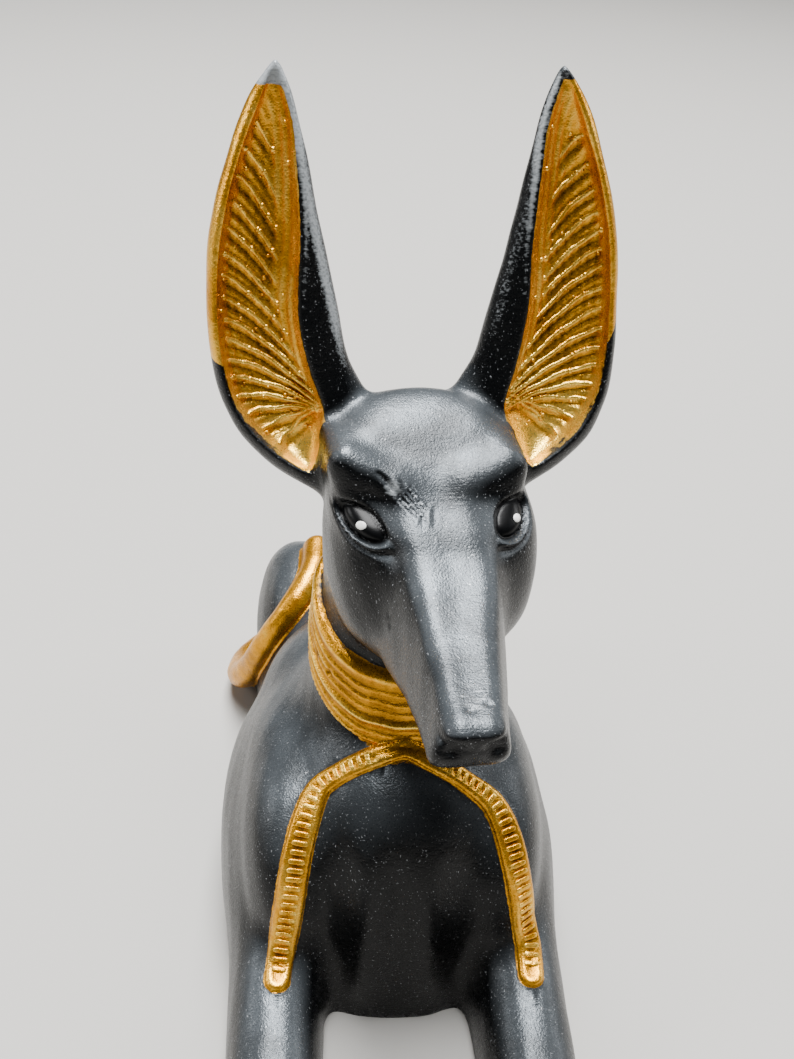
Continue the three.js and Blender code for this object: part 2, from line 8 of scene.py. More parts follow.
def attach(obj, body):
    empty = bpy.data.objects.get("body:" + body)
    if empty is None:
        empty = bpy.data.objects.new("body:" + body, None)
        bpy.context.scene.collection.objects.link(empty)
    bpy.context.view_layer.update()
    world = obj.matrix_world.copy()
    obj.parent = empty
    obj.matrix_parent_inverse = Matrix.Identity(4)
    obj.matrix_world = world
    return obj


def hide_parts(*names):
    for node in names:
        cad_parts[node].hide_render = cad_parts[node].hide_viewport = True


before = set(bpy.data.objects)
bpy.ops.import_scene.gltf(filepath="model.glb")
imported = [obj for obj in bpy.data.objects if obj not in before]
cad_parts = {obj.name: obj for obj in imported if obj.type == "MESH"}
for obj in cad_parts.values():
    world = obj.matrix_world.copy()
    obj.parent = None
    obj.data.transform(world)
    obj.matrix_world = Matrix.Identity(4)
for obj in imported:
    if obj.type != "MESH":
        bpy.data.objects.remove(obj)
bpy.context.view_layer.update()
print("stage: frame loaded")

mm = 0.001
middle = np.array((0.16, 0.94, 0.0))      # mm, middle of the casting in the places used below


def addObject(name, data):
    obj = bpy.data.objects.new(name, data)
    bpy.context.scene.collection.objects.link(obj)
    return obj


camera = {
    "place": (-22.4, -198.8, 223.0),    # mm, before the casting is centred
    "pitch": 32.0, "azimuth": -5.9, "roll": 3.4,
    "focal": 1200.0, "imageHeight": 1059.0,     # pixels of the photo
    "sensor": 36.0,
}


def makeCamera():
    a, p, r = (math.radians(camera[name]) for name in ("azimuth", "pitch", "roll"))
    back = Vector((math.sin(a) * math.cos(p), -math.cos(a) * math.cos(p), math.sin(p)))
    right = Vector((math.cos(a), math.sin(a), 0.0))
    up = back.cross(right)
    across = right * math.cos(r) + up * math.sin(r)
    upward = up * math.cos(r) - right * math.sin(r)
    data = bpy.data.cameras.new("camera")
    data.sensor_fit = "VERTICAL"
    data.sensor_height = camera["sensor"]
    data.lens = camera["focal"] * camera["sensor"] / camera["imageHeight"]
    data.clip_start = 0.01
    facing = Matrix((across, upward, back)).transposed().to_4x4()
    place = Vector(camera["place"]) - Vector(middle)
    obj = addObject("camera", data)
    obj.matrix_world = Matrix.Translation(place * mm) @ facing
    bpy.context.scene.camera = obj


makeCamera()
print("stage: camera")


# 1 at nought, and less the farther the value is from it
def bell(value, width, power=2):
    return np.exp(-((value / width) ** power))


# 1 at a place and less around it, with a width along each axis, or along x and y alone
def spot(x, y, z, place, widths, power=1):
    away = sum(((v - at) / width) ** 2 for v, at, width in zip((x, y, z), place, widths))
    return np.exp(-(away ** power))


def ramp(value, low, high):
    return np.clip((value - low) / (high - low), 0.0, 1.0)


# The form functions give the distance to the casting's skin, in mm, negative inside.
# Blending joins two forms with a fillet, and carving leaves what both hold
def blend(a, b, k):
    h = np.maximum(k - np.abs(a - b), 0.0) / k
    return np.minimum(a, b) - h * h * k * 0.25


def carve(a, b, k):
    return -blend(-a, -b, k)


# An egg with three half sizes, or an endless bar with two; the greater n, the squarer
def rounded(place, half, n):
    shares = [np.abs(v) / size + 1e-9 for v, size in zip(place, half)]
    powers = [share ** (n - 1) for share in shares]
    k = sum(power * share for power, share in zip(powers, shares)) ** (1 / n)
    return (k - 1) / (k ** (1 - n) * np.sqrt(sum((power / size) ** 2 for power, size in zip(powers, half))))


# A smooth line through stations, kept as a fine table
def profile(places, values):
    p, v = np.array(places, float), np.array(values, float)
    h = np.diff(p)
    d = np.diff(v) / h
    slope = np.empty_like(v)
    slope[0], slope[-1] = d[0], d[-1]
    slope[1:-1] = (d[:-1] * h[1:] + d[1:] * h[:-1]) / (p[2:] - p[:-2])
    fine = np.linspace(p[0], p[-1], 900)
    i = np.clip(np.searchsorted(p, fine, side="right") - 1, 0, len(p) - 2)
    u = (fine - p[i]) / h[i]
    table = (1 + 2 * u) * (1 - u) ** 2 * v[i] + u * (1 - u) ** 2 * h[i] * slope[i]
    table += u * u * (3 - 2 * u) * v[i + 1] + u * u * (u - 1) * h[i] * slope[i + 1]
    return lambda place: np.interp(place, fine, table)


# Points along a smooth curve through given ones
def smoothPath(points, pieces):
    p = np.array(points, float)
    ends = np.vstack([2 * p[0] - p[1], p, 2 * p[-1] - p[-2]])
    place = np.arange(pieces + 1) / pieces * (len(p) - 1)
    j = np.minimum(place.astype(int), len(p) - 2)
    t = (place - j)[:, None]
    a, b, c, d = (ends[j + i] for i in range(4))
    return b + 0.5 * t * (c - a + t * (2 * a - 5 * b + 4 * c - d + t * (3 * (b - c) + d - a)))


beyond = 1e3        # mm, farther away than any place here


# Distance to the path's rods, and how far along it the nearest place is, from 0 to 1
def alongPath(stops, radii, x, y, z):
    best = np.full(x.shape, beyond)
    share = np.zeros(x.shape)
    pieces = len(stops) - 1
    for i in range(pieces):
        a, d = stops[i], stops[i + 1] - stops[i]
        h = np.clip(sum((v - s) * way for v, s, way in zip((x, y, z), a, d)) / (d @ d), 0.0, 1.0)
        away = np.sqrt(sum((v - s - h * way) ** 2 for v, s, way in zip((x, y, z), a, d)))
        away -= radii[i] + (radii[i + 1] - radii[i]) * h
        nearer = away < best
        best = np.where(nearer, away, best)
        share = np.where(nearer, (i + h) / pieces, share)
    return best, share


# Works a form out only for the points inside its own box, and says "far" for the rest
def inBox(form, low, high, x, y, z, far=40.0):
    near = (x > low[0]) & (x < high[0]) & (y > low[1]) & (y < high[1]) & (z > low[2]) & (z < high[2])
    found = np.full(x.shape, far)
    if near.any():
        found[near] = form(x[near], y[near], z[near])
    return found


# Body masses: on both sides or not, middle, half sizes, squareness, fillet
masses = [
    (False, (0, -6.5, 13), (20.5, 32.6, 45), 3, 1), (False, (0, -5, 39), (24, 26.5, 20.5), 2.3, 6),
    (True, (21.5, -9.5, 23), (11.5, 28.5, 29), 2.3, 7), (True, (24.4, 4, 12), (13.2, 32, 24), 2.3, 7),
    (False, (-1, 15, 25), (30, 35, 30.5), 2.6, 7), (False, (0, 36, 13), (26.5, 57, 32), 2.4, 9),
    (True, (18.3, 71, 16), (12.9, 22.5, 28.8), 2.45, 6), (True, (22, 52, 6), (8.5, 18, 14), 2.2, 6),
]
lean = 1.1      # mm that the masses on both sides lean over, higher up


def trunk(x, y, z):
    side = np.abs(x + lean * ramp(z, 6, 28))
    d = beyond
    for both, place, half, squareness, fillet in masses:
        across = (side if both else x) - place[0]
        d = blend(d, rounded((across, y - place[1], z - place[2]), half, squareness), fillet)
    return d


def hindFoot(x, y, z):
    top = 9 + 4 * ramp(y, 26, 66)
    return carve(rounded((np.abs(x) - 24, z + 2), (6.8, top), 2.5), np.abs(y - 41) - 25, 7)


armPlaces = [-96, -86, -72, -50, -30, -10]
armTop = profile(armPlaces, [9.5, 12.5, 14, 18.5, 24, 30])
armHalf = profile(armPlaces, [9.6, 10.4, 9.6, 9.8, 10.4, 11])
armSide = profile([-96, -60, -30, -10], [25.4, 25.6, 25, 23.5])
toes = {"pitch": 4.6, "width": 0.9, "depth": 0.9}


def foreleg(x, y, z):
    across = np.abs(x) - armSide(y)
    d = carve(rounded((across, z + 2), (armHalf(y), armTop(y) + 2), 2.6), np.abs(y + 50) - 46, 9)
    paw = bell(np.maximum(y + 92, 0), 7) * ramp(z, 1, 5)
    grooves = sum(bell(across - i * toes["pitch"], toes["width"]) for i in (-1, 0, 1))
    return d + toes["depth"] * paw * grooves


neckPlaces = [36, 48, 58, 66, 76, 88, 104]
throatLine = profile(neckPlaces, [-30, -24.5, -19.6, -17.6, -15.4, -13.5, -12])
napeLine = profile(neckPlaces, [34, 29, 24.5, 21.5, 19, 17.5, 17])
neckHalf = profile(neckPlaces, [21, 20, 18.4, 17.5, 16.8, 15.8, 14.8])


def neck(x, y, z):
    front, back = throatLine(z), napeLine(z)
    d = rounded((x, y - (front + back) / 2), (neckHalf(z), (back - front) / 2), 2.1)
    return carve(d, np.abs(z - 70) - 34, 8)


def neckDistance(x, y, z):
    return inBox(neck, (-34, -44, 26), (34, 50, 114), x, y, z)


def unit(v):
    v = np.array(v, float)
    return v / np.linalg.norm(v)


face = {
    "brow": np.array([(8.2, -9.6, 113.6), (15.4, -6.8, 116.8), (17, 4, 117)]), "browThick": [3.4, 3.2, 1.6],
    "browTilt": 0.05, "browGap": 3,
    "eyeCentre": (15.1, -15.2, 109.3), "eyeHalf": 5.1, "lidUp": 2.5, "lidDown": 2.2, "eyeRise": 1.3,
    "noseFront": -62.3, "sway": 2.0,
    # mm deep or high
    "underBrow": 1.4, "besideNose": 0.6, "socket": 1.5, "lids": 0.9, "crease": 0.55, "nostrils": 1.1,
}
eyeAlong = unit((7.1, 8.5, 2.9))
eyeOut = np.array((0.7, -0.64, 0.3))
eyeOut = unit(eyeOut - eyeAlong * (eyeOut @ eyeAlong))
eyeUp = np.cross(eyeOut, eyeAlong)


# In the eye's own frame: up across the lids, out of the head, and rim, which is 1 on the lids' edge
def eyeFrame(side, y, z):
    p = [side - face["eyeCentre"][0], y - face["eyeCentre"][1], z - face["eyeCentre"][2]]
    u, v, w = (p[0] * axis[0] + p[1] * axis[1] + p[2] * axis[2] for axis in (eyeAlong, eyeUp, eyeOut))
    rim = np.hypot(u / face["eyeHalf"], v / np.where(v > 0, face["lidUp"], face["lidDown"]))
    return v, w, rim


def faceCarving(side, y, z):
    v, w, rim = eyeFrame(side, y, z)
    underBrow = spot(side, y, z, (11.5, -15.6, 112.2), (4.6, 5, 3))
    besideNose = spot(side, y, z, (9.6, -20.5, 107.6), (2.6, 5, 3))
    eyeball = np.sqrt(np.maximum(1 - (rim / 0.95) ** 2, 0))
    lids = bell(rim - 1.28, 0.2) * (0.15 + 0.85 * ramp(-v, -1, 0.6))
    crease = bell(rim - 1.58, 0.2) * np.clip(-v / 1.5, 0, 1)
    lidded = -face["socket"] * bell(np.maximum(rim - 0.92, 0), 0.34) + face["eyeRise"] * eyeball
    lidded = lidded + face["lids"] * lids - face["crease"] * crease
    return -face["underBrow"] * underBrow - face["besideNose"] * besideNose + bell(w, 6) * lidded


foreheadTop = profile([-24, -18, -14.2, -12.6, -10.8, -7.6, -3.6, 1, 8, 22],
                      [107.5, 109.9, 112.2, 113.4, 114.9, 117.5, 120.4, 122.8, 125.3, 127.5])
muzzleTop = profile([-66, -58, -40, -28, -20, -14, -8], [101.2, 101.5, 103.5, 106.4, 109.3, 112.2, 115.5])
muzzlePlaces = [-66, -58, -40, -26, -12, 0]
muzzleLow = profile(muzzlePlaces, [92.4, 90.8, 86.5, 82.5, 80, 80])
muzzleCrest = profile(muzzlePlaces, [4.1, 4.5, 6.6, 9, 11.2, 12.3])
muzzleFoot = profile(muzzlePlaces, [8, 8.2, 10.3, 12.6, 14.6, 15.6])
crestLine = profile([-66, -44, -27, -12, 0], [-0.8, 0.7, 1.8, 1.9, 1.5])
footLine = profile([-66, -40, -20, 0], [-1.7, 0.9, 1, 0.5])


# How far the face leans over to one side below the brow
def swayAt(z):
    return face["sway"] * bell(np.maximum(z - 103, 0), 7)


def head(x, y, z):
    across = x - swayAt(z)
    side = np.abs(across)
    d = rounded((across, y - 0.5, z - 103.8), (19.4, 21, 21.3), 2.5)
    d = carve(d, z - foreheadTop(y), 3)
    besideBridge = np.hypot(x, face["browGap"])
    brow = alongPath(face["brow"], face["browThick"], besideBridge, y, z + face["browTilt"] * x)[0]
    d = blend(d, brow, 4)
    d = blend(d, rounded((side - 8, y + 6, z - 95), (11.6, 16, 15), 2.4), 5)
    top, low = muzzleTop(y), muzzleLow(y)
    up = np.clip((z - low) / (top - low), 0, 1)
    half = muzzleFoot(y) + (muzzleCrest(y) - muzzleFoot(y)) * up
    aside = x - footLine(y) - (crestLine(y) - footLine(y)) * up
    muzzle = rounded((aside, z - (top + 2 + low) / 2), (half, (top + 2 - low) / 2), 3.4)
    muzzle = carve(muzzle, z - top + 0.3 * bell(aside, 3), 2.2)
    muzzle = carve(muzzle, face["noseFront"] + 0.25 * np.maximum(0, 96 - z) - y, 3.2)
    d = blend(d, carve(muzzle, y + 2, 3), 5)
    nostril = spot(np.abs(x + 0.6), y, z, (3.4, -62, 96.4), (1.5, 2.2, 1.1))
    return d - faceCarving(side, y, z) + face["nostrils"] * nostril


earOuter = profile([101, 107, 113, 120, 130, 141, 153, 166, 176, 181.4],
                   [17, 27.7, 34.2, 37.7, 39.3, 39.4, 38.1, 34.3, 30, 26])
earInner = profile([101, 114, 120, 128, 138, 153, 168, 176, 181.4],
                   [4, 5.5, 7.7, 12, 14.5, 18, 21.1, 23.2, 25.6])
earThick = profile([101, 112, 125, 140, 160, 174, 181.4], [6, 7.2, 7, 5.6, 4.4, 2.8, 0.8])
hollowPlaces = [109, 112, 116, 120, 128, 138, 150, 163, 172, 179]
hollowIn = profile(hollowPlaces, [21.6, 19.8, 17.8, 17.1, 18.9, 20.9, 21.3, 22.3, 23.3, 25.6])
hollowOut = profile(hollowPlaces, [22.6, 27.4, 31.8, 34.6, 36.8, 37.2, 36.4, 33.2, 29.8, 26.6])


# Edges of the ear and of its gold hollow at a height; the ear on +X is fuller at its foot
def earEdges(x, z):
    lobe = np.sign(x) * 3.4 * bell(z - 100, 26)
    foot = bell(z - 108, 8)
    narrow = 1.7 * bell(z - 134, 18) * (x < 0)
    return (earOuter(z) + 0.7 * lobe, earInner(z) - 0.35 * lobe,
            hollowOut(z) + 0.5 * lobe, hollowIn(z) + 0.5 * lobe * foot + narrow)


# The ears lean back as they rise: the middle of their thickness, front to back
def earMiddle(z):
    return 10 + 0.17 * (z - 105)


def ear(x, y, z):
    side = np.abs(x)
    out, inn, goldOut, goldIn = earEdges(x, z)
    half = np.maximum((out - inn) / 2, 0.3)
    thick = earThick(z)
    centre = earMiddle(z)
    across = side - (out + inn) / 2
    d = rounded((across, y - centre), (half, thick), 2.15)
    goldHalf = np.maximum((goldOut - goldIn) / 2, 0.15)
    rim = centre - thick * (0.7 - 0.31 * across / half)
    depth = blend(4.6, goldHalf * 0.8, 1.5)
    hollow = rounded((side - (goldOut + goldIn) / 2, np.maximum(y - rim, 0)), (goldHalf, depth), 2)
    hollow = carve(hollow, np.abs(z - 144.2) - 35.2, 1.5)
    d = carve(d, -hollow, 1.4)
    return carve(d, np.abs(z - 141.2) - 40.2, 2)


tail = {
    "points": [(0, 90, 34), (-12, 93.5, 18), (-24.5, 89, 6.5), (-34, 79.5, 4.4), (-36.2, 71.5, 5.8),
               (-35.6, 64, 10.4), (-33.2, 58.5, 18), (-30, 53.9, 28), (-23.6, 53.5, 39), (-17.2, 62, 44.8),
               (-15.6, 73, 45.6)],
    "pieces": 30, "half": 4.0,
}
tailTaper = profile([0, 0.2, 0.45, 0.56, 0.7, 0.84, 0.94, 1], [1.25, 1.05, 1, 0.85, 0.72, 0.78, 0.92, 1])
tailStops = smoothPath(tail["points"], tail["pieces"])
tailRadii = tail["half"] * tailTaper(np.linspace(0, 1, tail["pieces"] + 1))


def tailDistance(x, y, z):
    return inBox(lambda *p: alongPath(tailStops, tailRadii, *p)[0], (-54, 44, -20), (18, 112, 64), x, y, z)


ribbon = {
    "left": [(0.2, -20.7, 60), (-7.7, -21.9, 57.7), (-14.6, -22.4, 53.4), (-17.6, -24.1, 50.6),
             (-20.5, -30.5, 44.9), (-22.5, -36.5, 34.6), (-23.8, -38.3, 25), (-24.9, -43.9, 20.1)],
    "right": [(0.2, -20.7, 60), (7.3, -22.9, 57.2), (12.5, -24.1, 53.9), (17.6, -25.7, 50.1),
              (20.4, -29.2, 46.6), (22.4, -33.2, 41), (24.2, -36, 32.5), (26.1, -38.1, 22.9),
              (26.1, -44.3, 20)],
    "pieces": 18, "half": 2.8, "rise": 1.1,
}
ribbonTaper = profile([0, 0.3, 0.6, 0.85, 1], [0.68, 0.8, 1, 1, 0.86])
ribbonStops = [smoothPath(ribbon[side], ribbon["pieces"]) for side in ("left", "right")]
ribbonRadii = ribbon["half"] * ribbonTaper(np.linspace(0, 1, ribbon["pieces"] + 1))


def nearRibbon(x, y, z):
    left, leftShare = alongPath(ribbonStops[0], ribbonRadii, x, y, z)
    right, rightShare = alongPath(ribbonStops[1], ribbonRadii, x, y, z)
    return np.minimum(left, right), np.where(left < right, leftShare, rightShare)


def ribbonDistance(x, y, z):
    return inBox(lambda *p: nearRibbon(*p)[0], (-34, -54, 10), (34, -10, 70), x, y, z)


collar = {"width": 12.8, "rise": 1.6, "tilt": math.radians(24)}


# Place up the collar's slanting width, 0 along its middle
def upCollar(y, z):
    return (z - 73) * math.cos(collar["tilt"]) - (y + 4) * math.sin(collar["tilt"]) - 0.4


headTurn = math.radians(4.3)
turnPlace = 25      # mm back, where the head turns on the neck


def turned(x, y, angle=headTurn):
    c, s = math.cos(angle), math.sin(angle)
    return c * x + s * (y - turnPlace), -s * x + c * (y - turnPlace) + turnPlace


def headAndEars(x, y, z):
    hx, hy = turned(x, y)
    skull = inBox(head, (-40, -80, 68), (40, 30, 140), hx, hy, z)
    ears = inBox(ear, (-50, -8, 92), (50, 42, 190), hx, hy, z)
    return blend(skull, ears, 3)


def figure(x, y, z):
    neckSkin = neckDistance(x, y, z)
    d = inBox(trunk, (-50, -56, -20), (50, 110, 74), x, y, z)
    d = blend(d, inBox(hindFoot, (-44, 6, -20), (44, 78, 24), x, y, z), 3)
    d = blend(d, inBox(foreleg, (-46, -110, -20), (46, 6, 40), x, y, z), 6)
    d = blend(d, neckSkin, 6)
    ribbonSkin = carve(d - ribbon["rise"], ribbonDistance(x, y, z), 0.8)
    ring = carve(neckSkin - collar["rise"], np.abs(upCollar(y, z)) - collar["width"] / 2, 1)
    d = np.minimum(d, np.minimum(ribbonSkin, ring))
    d = blend(d, inBox(headAndEars, (-56, -84, 66), (56, 48, 190), x, y, z), 3)
    web = 1 + 6 * bell(np.maximum(z, 0), 7)
    return blend(d, tailDistance(x, y, z), web)


# The skin is a surface net on a grid, filled block by block near the skin
net = {
    "step": 0.45, "quickStep": 1.0, "block": 8, "low": (-46, -104, -4), "high": (46, 106, 188),
    "nearBlocks": 1.25, "nearSteps": 2.6, "flipped": 0.02, "triangles": 192000,
}
corners = np.indices((2, 2, 2)).reshape(3, -1).T
cellEdges = [(a, b) for a in range(8) for b in range(a + 1, 8) if np.abs(corners[a] - corners[b]).sum() == 1]


# Values of the form on the grid: one to a block far from the skin, one to eight points nearer, then all
def sampleGrid(low, counts, step):
    size = net["block"]
    blocks = [-(-n // size) for n in counts]
    index = np.indices(blocks).reshape(3, -1).T
    mid = figure(*(low + (index * size + (size - 1) / 2) * step).T)
    values = mid.reshape(blocks).astype(np.float32)
    for axis in range(3):
        values = np.repeat(values, size, axis)
    near = index[np.abs(mid) < net["nearBlocks"] * size * step]
    near = (near[:, None] * size + 2 * np.indices([size // 2] * 3).reshape(3, -1).T).reshape(-1, 3)
    mid = figure(*(low + (near + 0.5) * step).T)
    for corner in corners:
        values[tuple((near + corner).T)] = mid
    near = near[np.abs(mid) < net["nearSteps"] * step]
    for corner in corners:
        values[tuple((near + corner).T)] = figure(*(low + (near + corner) * step).T)
    return values


# Cells that the skin passes, the places of their corners, and the values there
def crossedCells(values):
    some, every = False, True
    for corner in corners:
        part = values[tuple(slice(c, c + n - 1) for c, n in zip(corner, values.shape))] < 0
        some, every = some | part, every & part
    cells = np.argwhere(some & ~every)
    at = cells[:, None] + corners
    return cells, at, values[tuple(np.moveaxis(at, -1, 0))]


# Where two sheets of skin would share an edge or a point, the weakest corner there changes sides
def partSheets(values):
    # Two opposite corners that may stand alone, those that part them, and how many of all may change
    groups = [([a, 7 - a], [i for i in range(8) if i not in (a, 7 - a)], 2) for a in range(4)]
    for axis in range(3):
        for level in (0, 1):
            ring = [i for i in range(8) if corners[i][axis] == level]
            groups.append(([ring[0], ring[3]], ring[1:3], 4))
    for turn in range(12):
        cells, at, v = crossedCells(values)
        inside = v < 0
        todo = []
        for pair, others, count in groups:
            alone = (inside[:, others] != inside[:, pair[:1]]).all(1)
            rows = np.flatnonzero((inside[:, pair[0]] == inside[:, pair[1]]) & alone)
            ends = (pair + others)[:count]
            todo.append(at[rows, np.array(ends)[np.abs(v[rows][:, ends]).argmin(1)]])
        todo = np.unique(np.vstack(todo), axis=0)
        if len(todo) == 0:
            break
        weak = tuple(todo.T)
        values[weak] = np.where(values[weak] < 0, net["flipped"], -net["flipped"])
    return cells, v


def surfaceNet(low, counts, step):
    values = sampleGrid(low, counts, step)
    cells, v = partSheets(values)
    total, crossings = np.zeros((len(cells), 3)), np.zeros(len(cells))
    for a, b in cellEdges:
        rows = np.flatnonzero((v[:, a] < 0) != (v[:, b] < 0))
        t = (v[rows, a] / (v[rows, a] - v[rows, b]))[:, None]
        total[rows] += corners[a] + (corners[b] - corners[a]) * t
        crossings[rows] += 1
    points = low + (cells + total / crossings[:, None]) * step
    number = np.full(values.shape, -1, np.int32)
    number[tuple(cells.T)] = np.arange(len(cells))
    inside = values < 0
    quads = []
    for axis in range(3):
        p = np.argwhere(inside != np.roll(inside, -1, axis))
        p = p[(p > 0).all(1) & (p < np.array(values.shape) - 1).all(1)]
        s, t = np.eye(3, dtype=int)[[(axis + 1) % 3, (axis + 2) % 3]]
        ring = np.stack([number[tuple(q.T)] for q in (p - s - t, p - t, p, p - s)], 1)
        quads.append(np.where(inside[tuple(p.T)][:, None], ring, ring[:, ::-1]))
    return points, np.vstack(quads)


# Draws points onto the skin, and gives the way out of it at each
def settle(points, step):
    nudge = 0.04
    for turn in range(2):
        here = figure(*points.T)
        slope = np.stack([figure(*(points + nudge * way).T) - here for way in np.eye(3)], 1) / nudge
        steep = np.maximum((slope ** 2).sum(1), 0.25)
        move = np.clip(here / steep, -step / 2, step / 2)
        points = points - move[:, None] * slope
    return points, slope / np.linalg.norm(slope, axis=1)[:, None]


# Relief is what the hand carving and the casting leave on the skin, in mm outwards.
# Ribs fan out over the ear's hollow: heights in mm at which they leave its outer edge
ribs = {
    "left": [175.5, 171, 166.5, 162, 157.5, 153, 148.5, 144.5, 140.5, 136.5, 132.8, 129, 125.5, 122, 118.6,
             115.4, 112.6],
    "right": [169.5, 164.5, 160, 156, 152.5, 149.4, 146, 142, 138, 134.2, 130.6, 127, 123.4, 120, 116.4, 113],
    "thick": 0.58, "groove": 0.4, "sunk": 0.38, "bead": 0.7, "spacing": 0.5, "rim": 0.4, "lowest": 109.5,
    "fewestPoints": 6, "seed": 11,
}


# Height of a rib at a distance in from the edge, and how steeply it falls there
def ribHeight(sign, start, u):
    q = start - 120
    if sign < 0:
        m = 1.15 * (1 - math.exp(-q / 20)) if q > 0 else 0.065 * q
        return start - m * u * (0.75 + 0.25 * u / 9), m * (0.75 + 0.5 * u / 9)
    m = 0.77 * (1 - math.exp(-q / 11)) if q > 0 else 0.07 * q
    return start - m * u * (0.9 + 0.1 * u / 9), m * (0.9 + 0.2 * u / 9)


# A rib stops short of the smooth channel along the ear's inner edge
def ribFade(u, t, z):
    plain = 3.0 * ramp(z, 122, 140)
    return ramp(u, -0.3, 0.6) * ramp(t, plain + 0.3, plain + 2.4)


# How far in front of the ear's back a point is
def beforeBack(x, y, z):
    reach = ramp(earEdges(x, z)[2] + 0.6 - np.abs(x), 0, 1.2)
    return earMiddle(z) + 0.3 + 0.6 * earThick(z) * reach - y


def earRelief(x, y, z):
    goldOut, goldIn = earEdges(x, z)[2:]
    u, t = goldOut - np.abs(x) - ribs["rim"], np.abs(x) - goldIn
    groove = 0 * x
    for sign, starts in ((-1, ribs["left"]), (1, ribs["right"])):
        mine = np.sign(x) == sign
        um, zm = u[mine], z[mine]
        deep = np.zeros(um.shape)
        for start in starts:
            height, slope = ribHeight(sign, start, um)
            d = (zm - height) / np.sqrt(1 + slope * slope)
            deep = np.maximum(deep, bell(d + 0.95, 0.5) + 0.5 * bell(d - 0.85, 0.4))
        groove[mine] = deep * ribFade(um, t[mine], zm)
    streaks = 0.07 * np.sin(4.2 * t + 0.15 * z) * ramp(z, 118, 130) * ramp(t, 0.4, 1.2)
    h = (streaks - ribs["groove"] * groove) * ramp(t, 0.1, 0.8) * ramp(u, 0.2, 1.0)
    return h * ramp(beforeBack(x, y, z), 0, 0.6)


ridges = [      # place up the collar, half width, rise, how far it fades in front
    (-5.7, 0.42, 0.5, 0.5), (-4.3, 0.36, 0.45, 0.5), (-2.2, 0.6, 0.7, 0.0),
    (-0.3, 0.35, 0.4, 0.6), (1.3, 0.4, 0.5, 0.5), (3.0, 0.42, 0.5, 0.6), (5.3, 0.8, 0.5, 0.3),
]


def collarRelief(x, y, z):
    up = upCollar(y, z)
    front = bell(np.arctan2(x + 2, -(y - 3)), 0.55)
    waver = 0.25 * np.sin(0.31 * x + 0.2 * y) + 0.1 * np.sin(0.9 * x)
    h = 0 * x
    for place, half, rise, fades in ridges:
        h = h + rise * (1 - fades * front) * bell(up - place - waver, half)
    return h - 0.2


def ribbonRelief(x, y, z):
    d, share = nearRibbon(x, y, z)
    half = ribbon["half"] * ribbonTaper(share)
    lateral = half + d
    return 0.12 * bell(lateral - 0.78 * half, 0.5) - 0.3 * bell(lateral, 0.5 * half, 4)


# The whole skin waves a little, as if smoothed by hand: turns along x, y and z in each mm, and a start
waves = [(0.31, 0.17, 0.23, 0.4), (0.13, 0.37, -0.29, 1.9), (-0.41, 0.21, 0.33, 4.1), (0.7, -0.5, 0.6, 2.2)]
waveHeight = 0.035      # mm


def handFinish(x, y, z):
    chest = ramp(z, 4, 12) * ramp(-z, -46, -34) * ramp(-y, 22, 28) * ramp(-np.abs(x), -14, -9)
    folds = 0.55 * bell(np.abs(x + 1) - 6.4, 2.6) - 0.45 * bell(x + 1, 2.4)
    return waveHeight * sum(np.sin(a * x + b * y + c * z + e) for a, b, c, e in waves) + chest * folds


def nostrils(x, y, z):
    side = np.abs(x + 0.6)
    slot = spot(side, y, z - 96.9 - 0.25 * side, (3.5, -62, 0), (1.9, 2.5, 0.75))
    return 0.35 * spot(side, y, z, (2.6, -62.3, 99.4), (3, 1.6, 0.9)) - 0.9 * slot


# Knocks and bubbles of the casting: place in mm, radius, depth
pits = [
    ((-6.0, -27.1, 96.8), 1.1, 0.5), ((-5.5, -28.4, 95.6), 0.8, 0.4), ((-17.2, -6.1, 72.4), 0.9, 0.5),
    ((-14.9, -10.7, 71.1), 0.8, 0.4), ((-33, 68, 10), 0.7, 0.4), ((-34.2, 63, 13), 0.6, 0.4),
    ((5.5, -57.5, 101.4), 0.9, 0.25), ((8.4, -56.2, 101.4), 0.7, 0.3), ((16, -20, 96), 0.8, 0.3),
]
# Cracks and scratches: points of the line in mm, half its width, depth
cracks = [
    ([(-6.8, -12.4, 117.9), (-4.9, -13.8, 116), (-2.8, -15.3, 113.9)], 0.8, 0.8),
    ([(-5.7, -12.3, 118), (-4.1, -11.6, 118.2), (-2.2, -11.1, 118.1), (0, -10, 118.6)], 0.3, 0.4),
    ([(-4.9, -21.3, 107.6), (-6.1, -22.1, 105.6), (-7.2, -23.2, 103.1), (-8.7, -22.5, 99)], 0.34, 0.6),
    ([(-5.6, -21, 107.4), (-7.4, -20.8, 106.2)], 0.28, 0.3),
]
fileMarks = {"from": (-2.8, -14, 114.2), "to": (1.2, -17.2, 112.2), "half": 2.4, "pitch": 0.85, "depth": 0.2}


def damage(x, y, z):
    h = 0 * x
    for place, radius, depth in pits:
        away = (x - place[0]) ** 2 + (y - place[1]) ** 2 + (z - place[2]) ** 2
        h = h - depth * bell(away, radius ** 2, 1.5)
    for points, half, depth in cracks:
        away = alongPath(np.array(points), [0.0] * len(points), x, y, z)[0]
        h = h - depth * bell(away, half, 4)
    a, b = np.array(fileMarks["from"]), np.array(fileMarks["to"])
    away, share = alongPath(np.array([a, b]), [0.0, 0.0], x, y, z)
    cuts = np.sin((share * np.linalg.norm(b - a) + 0.35 * x) * 2 * math.pi / fileMarks["pitch"])
    return h + fileMarks["depth"] * cuts * bell(away, fileMarks["half"], 4)


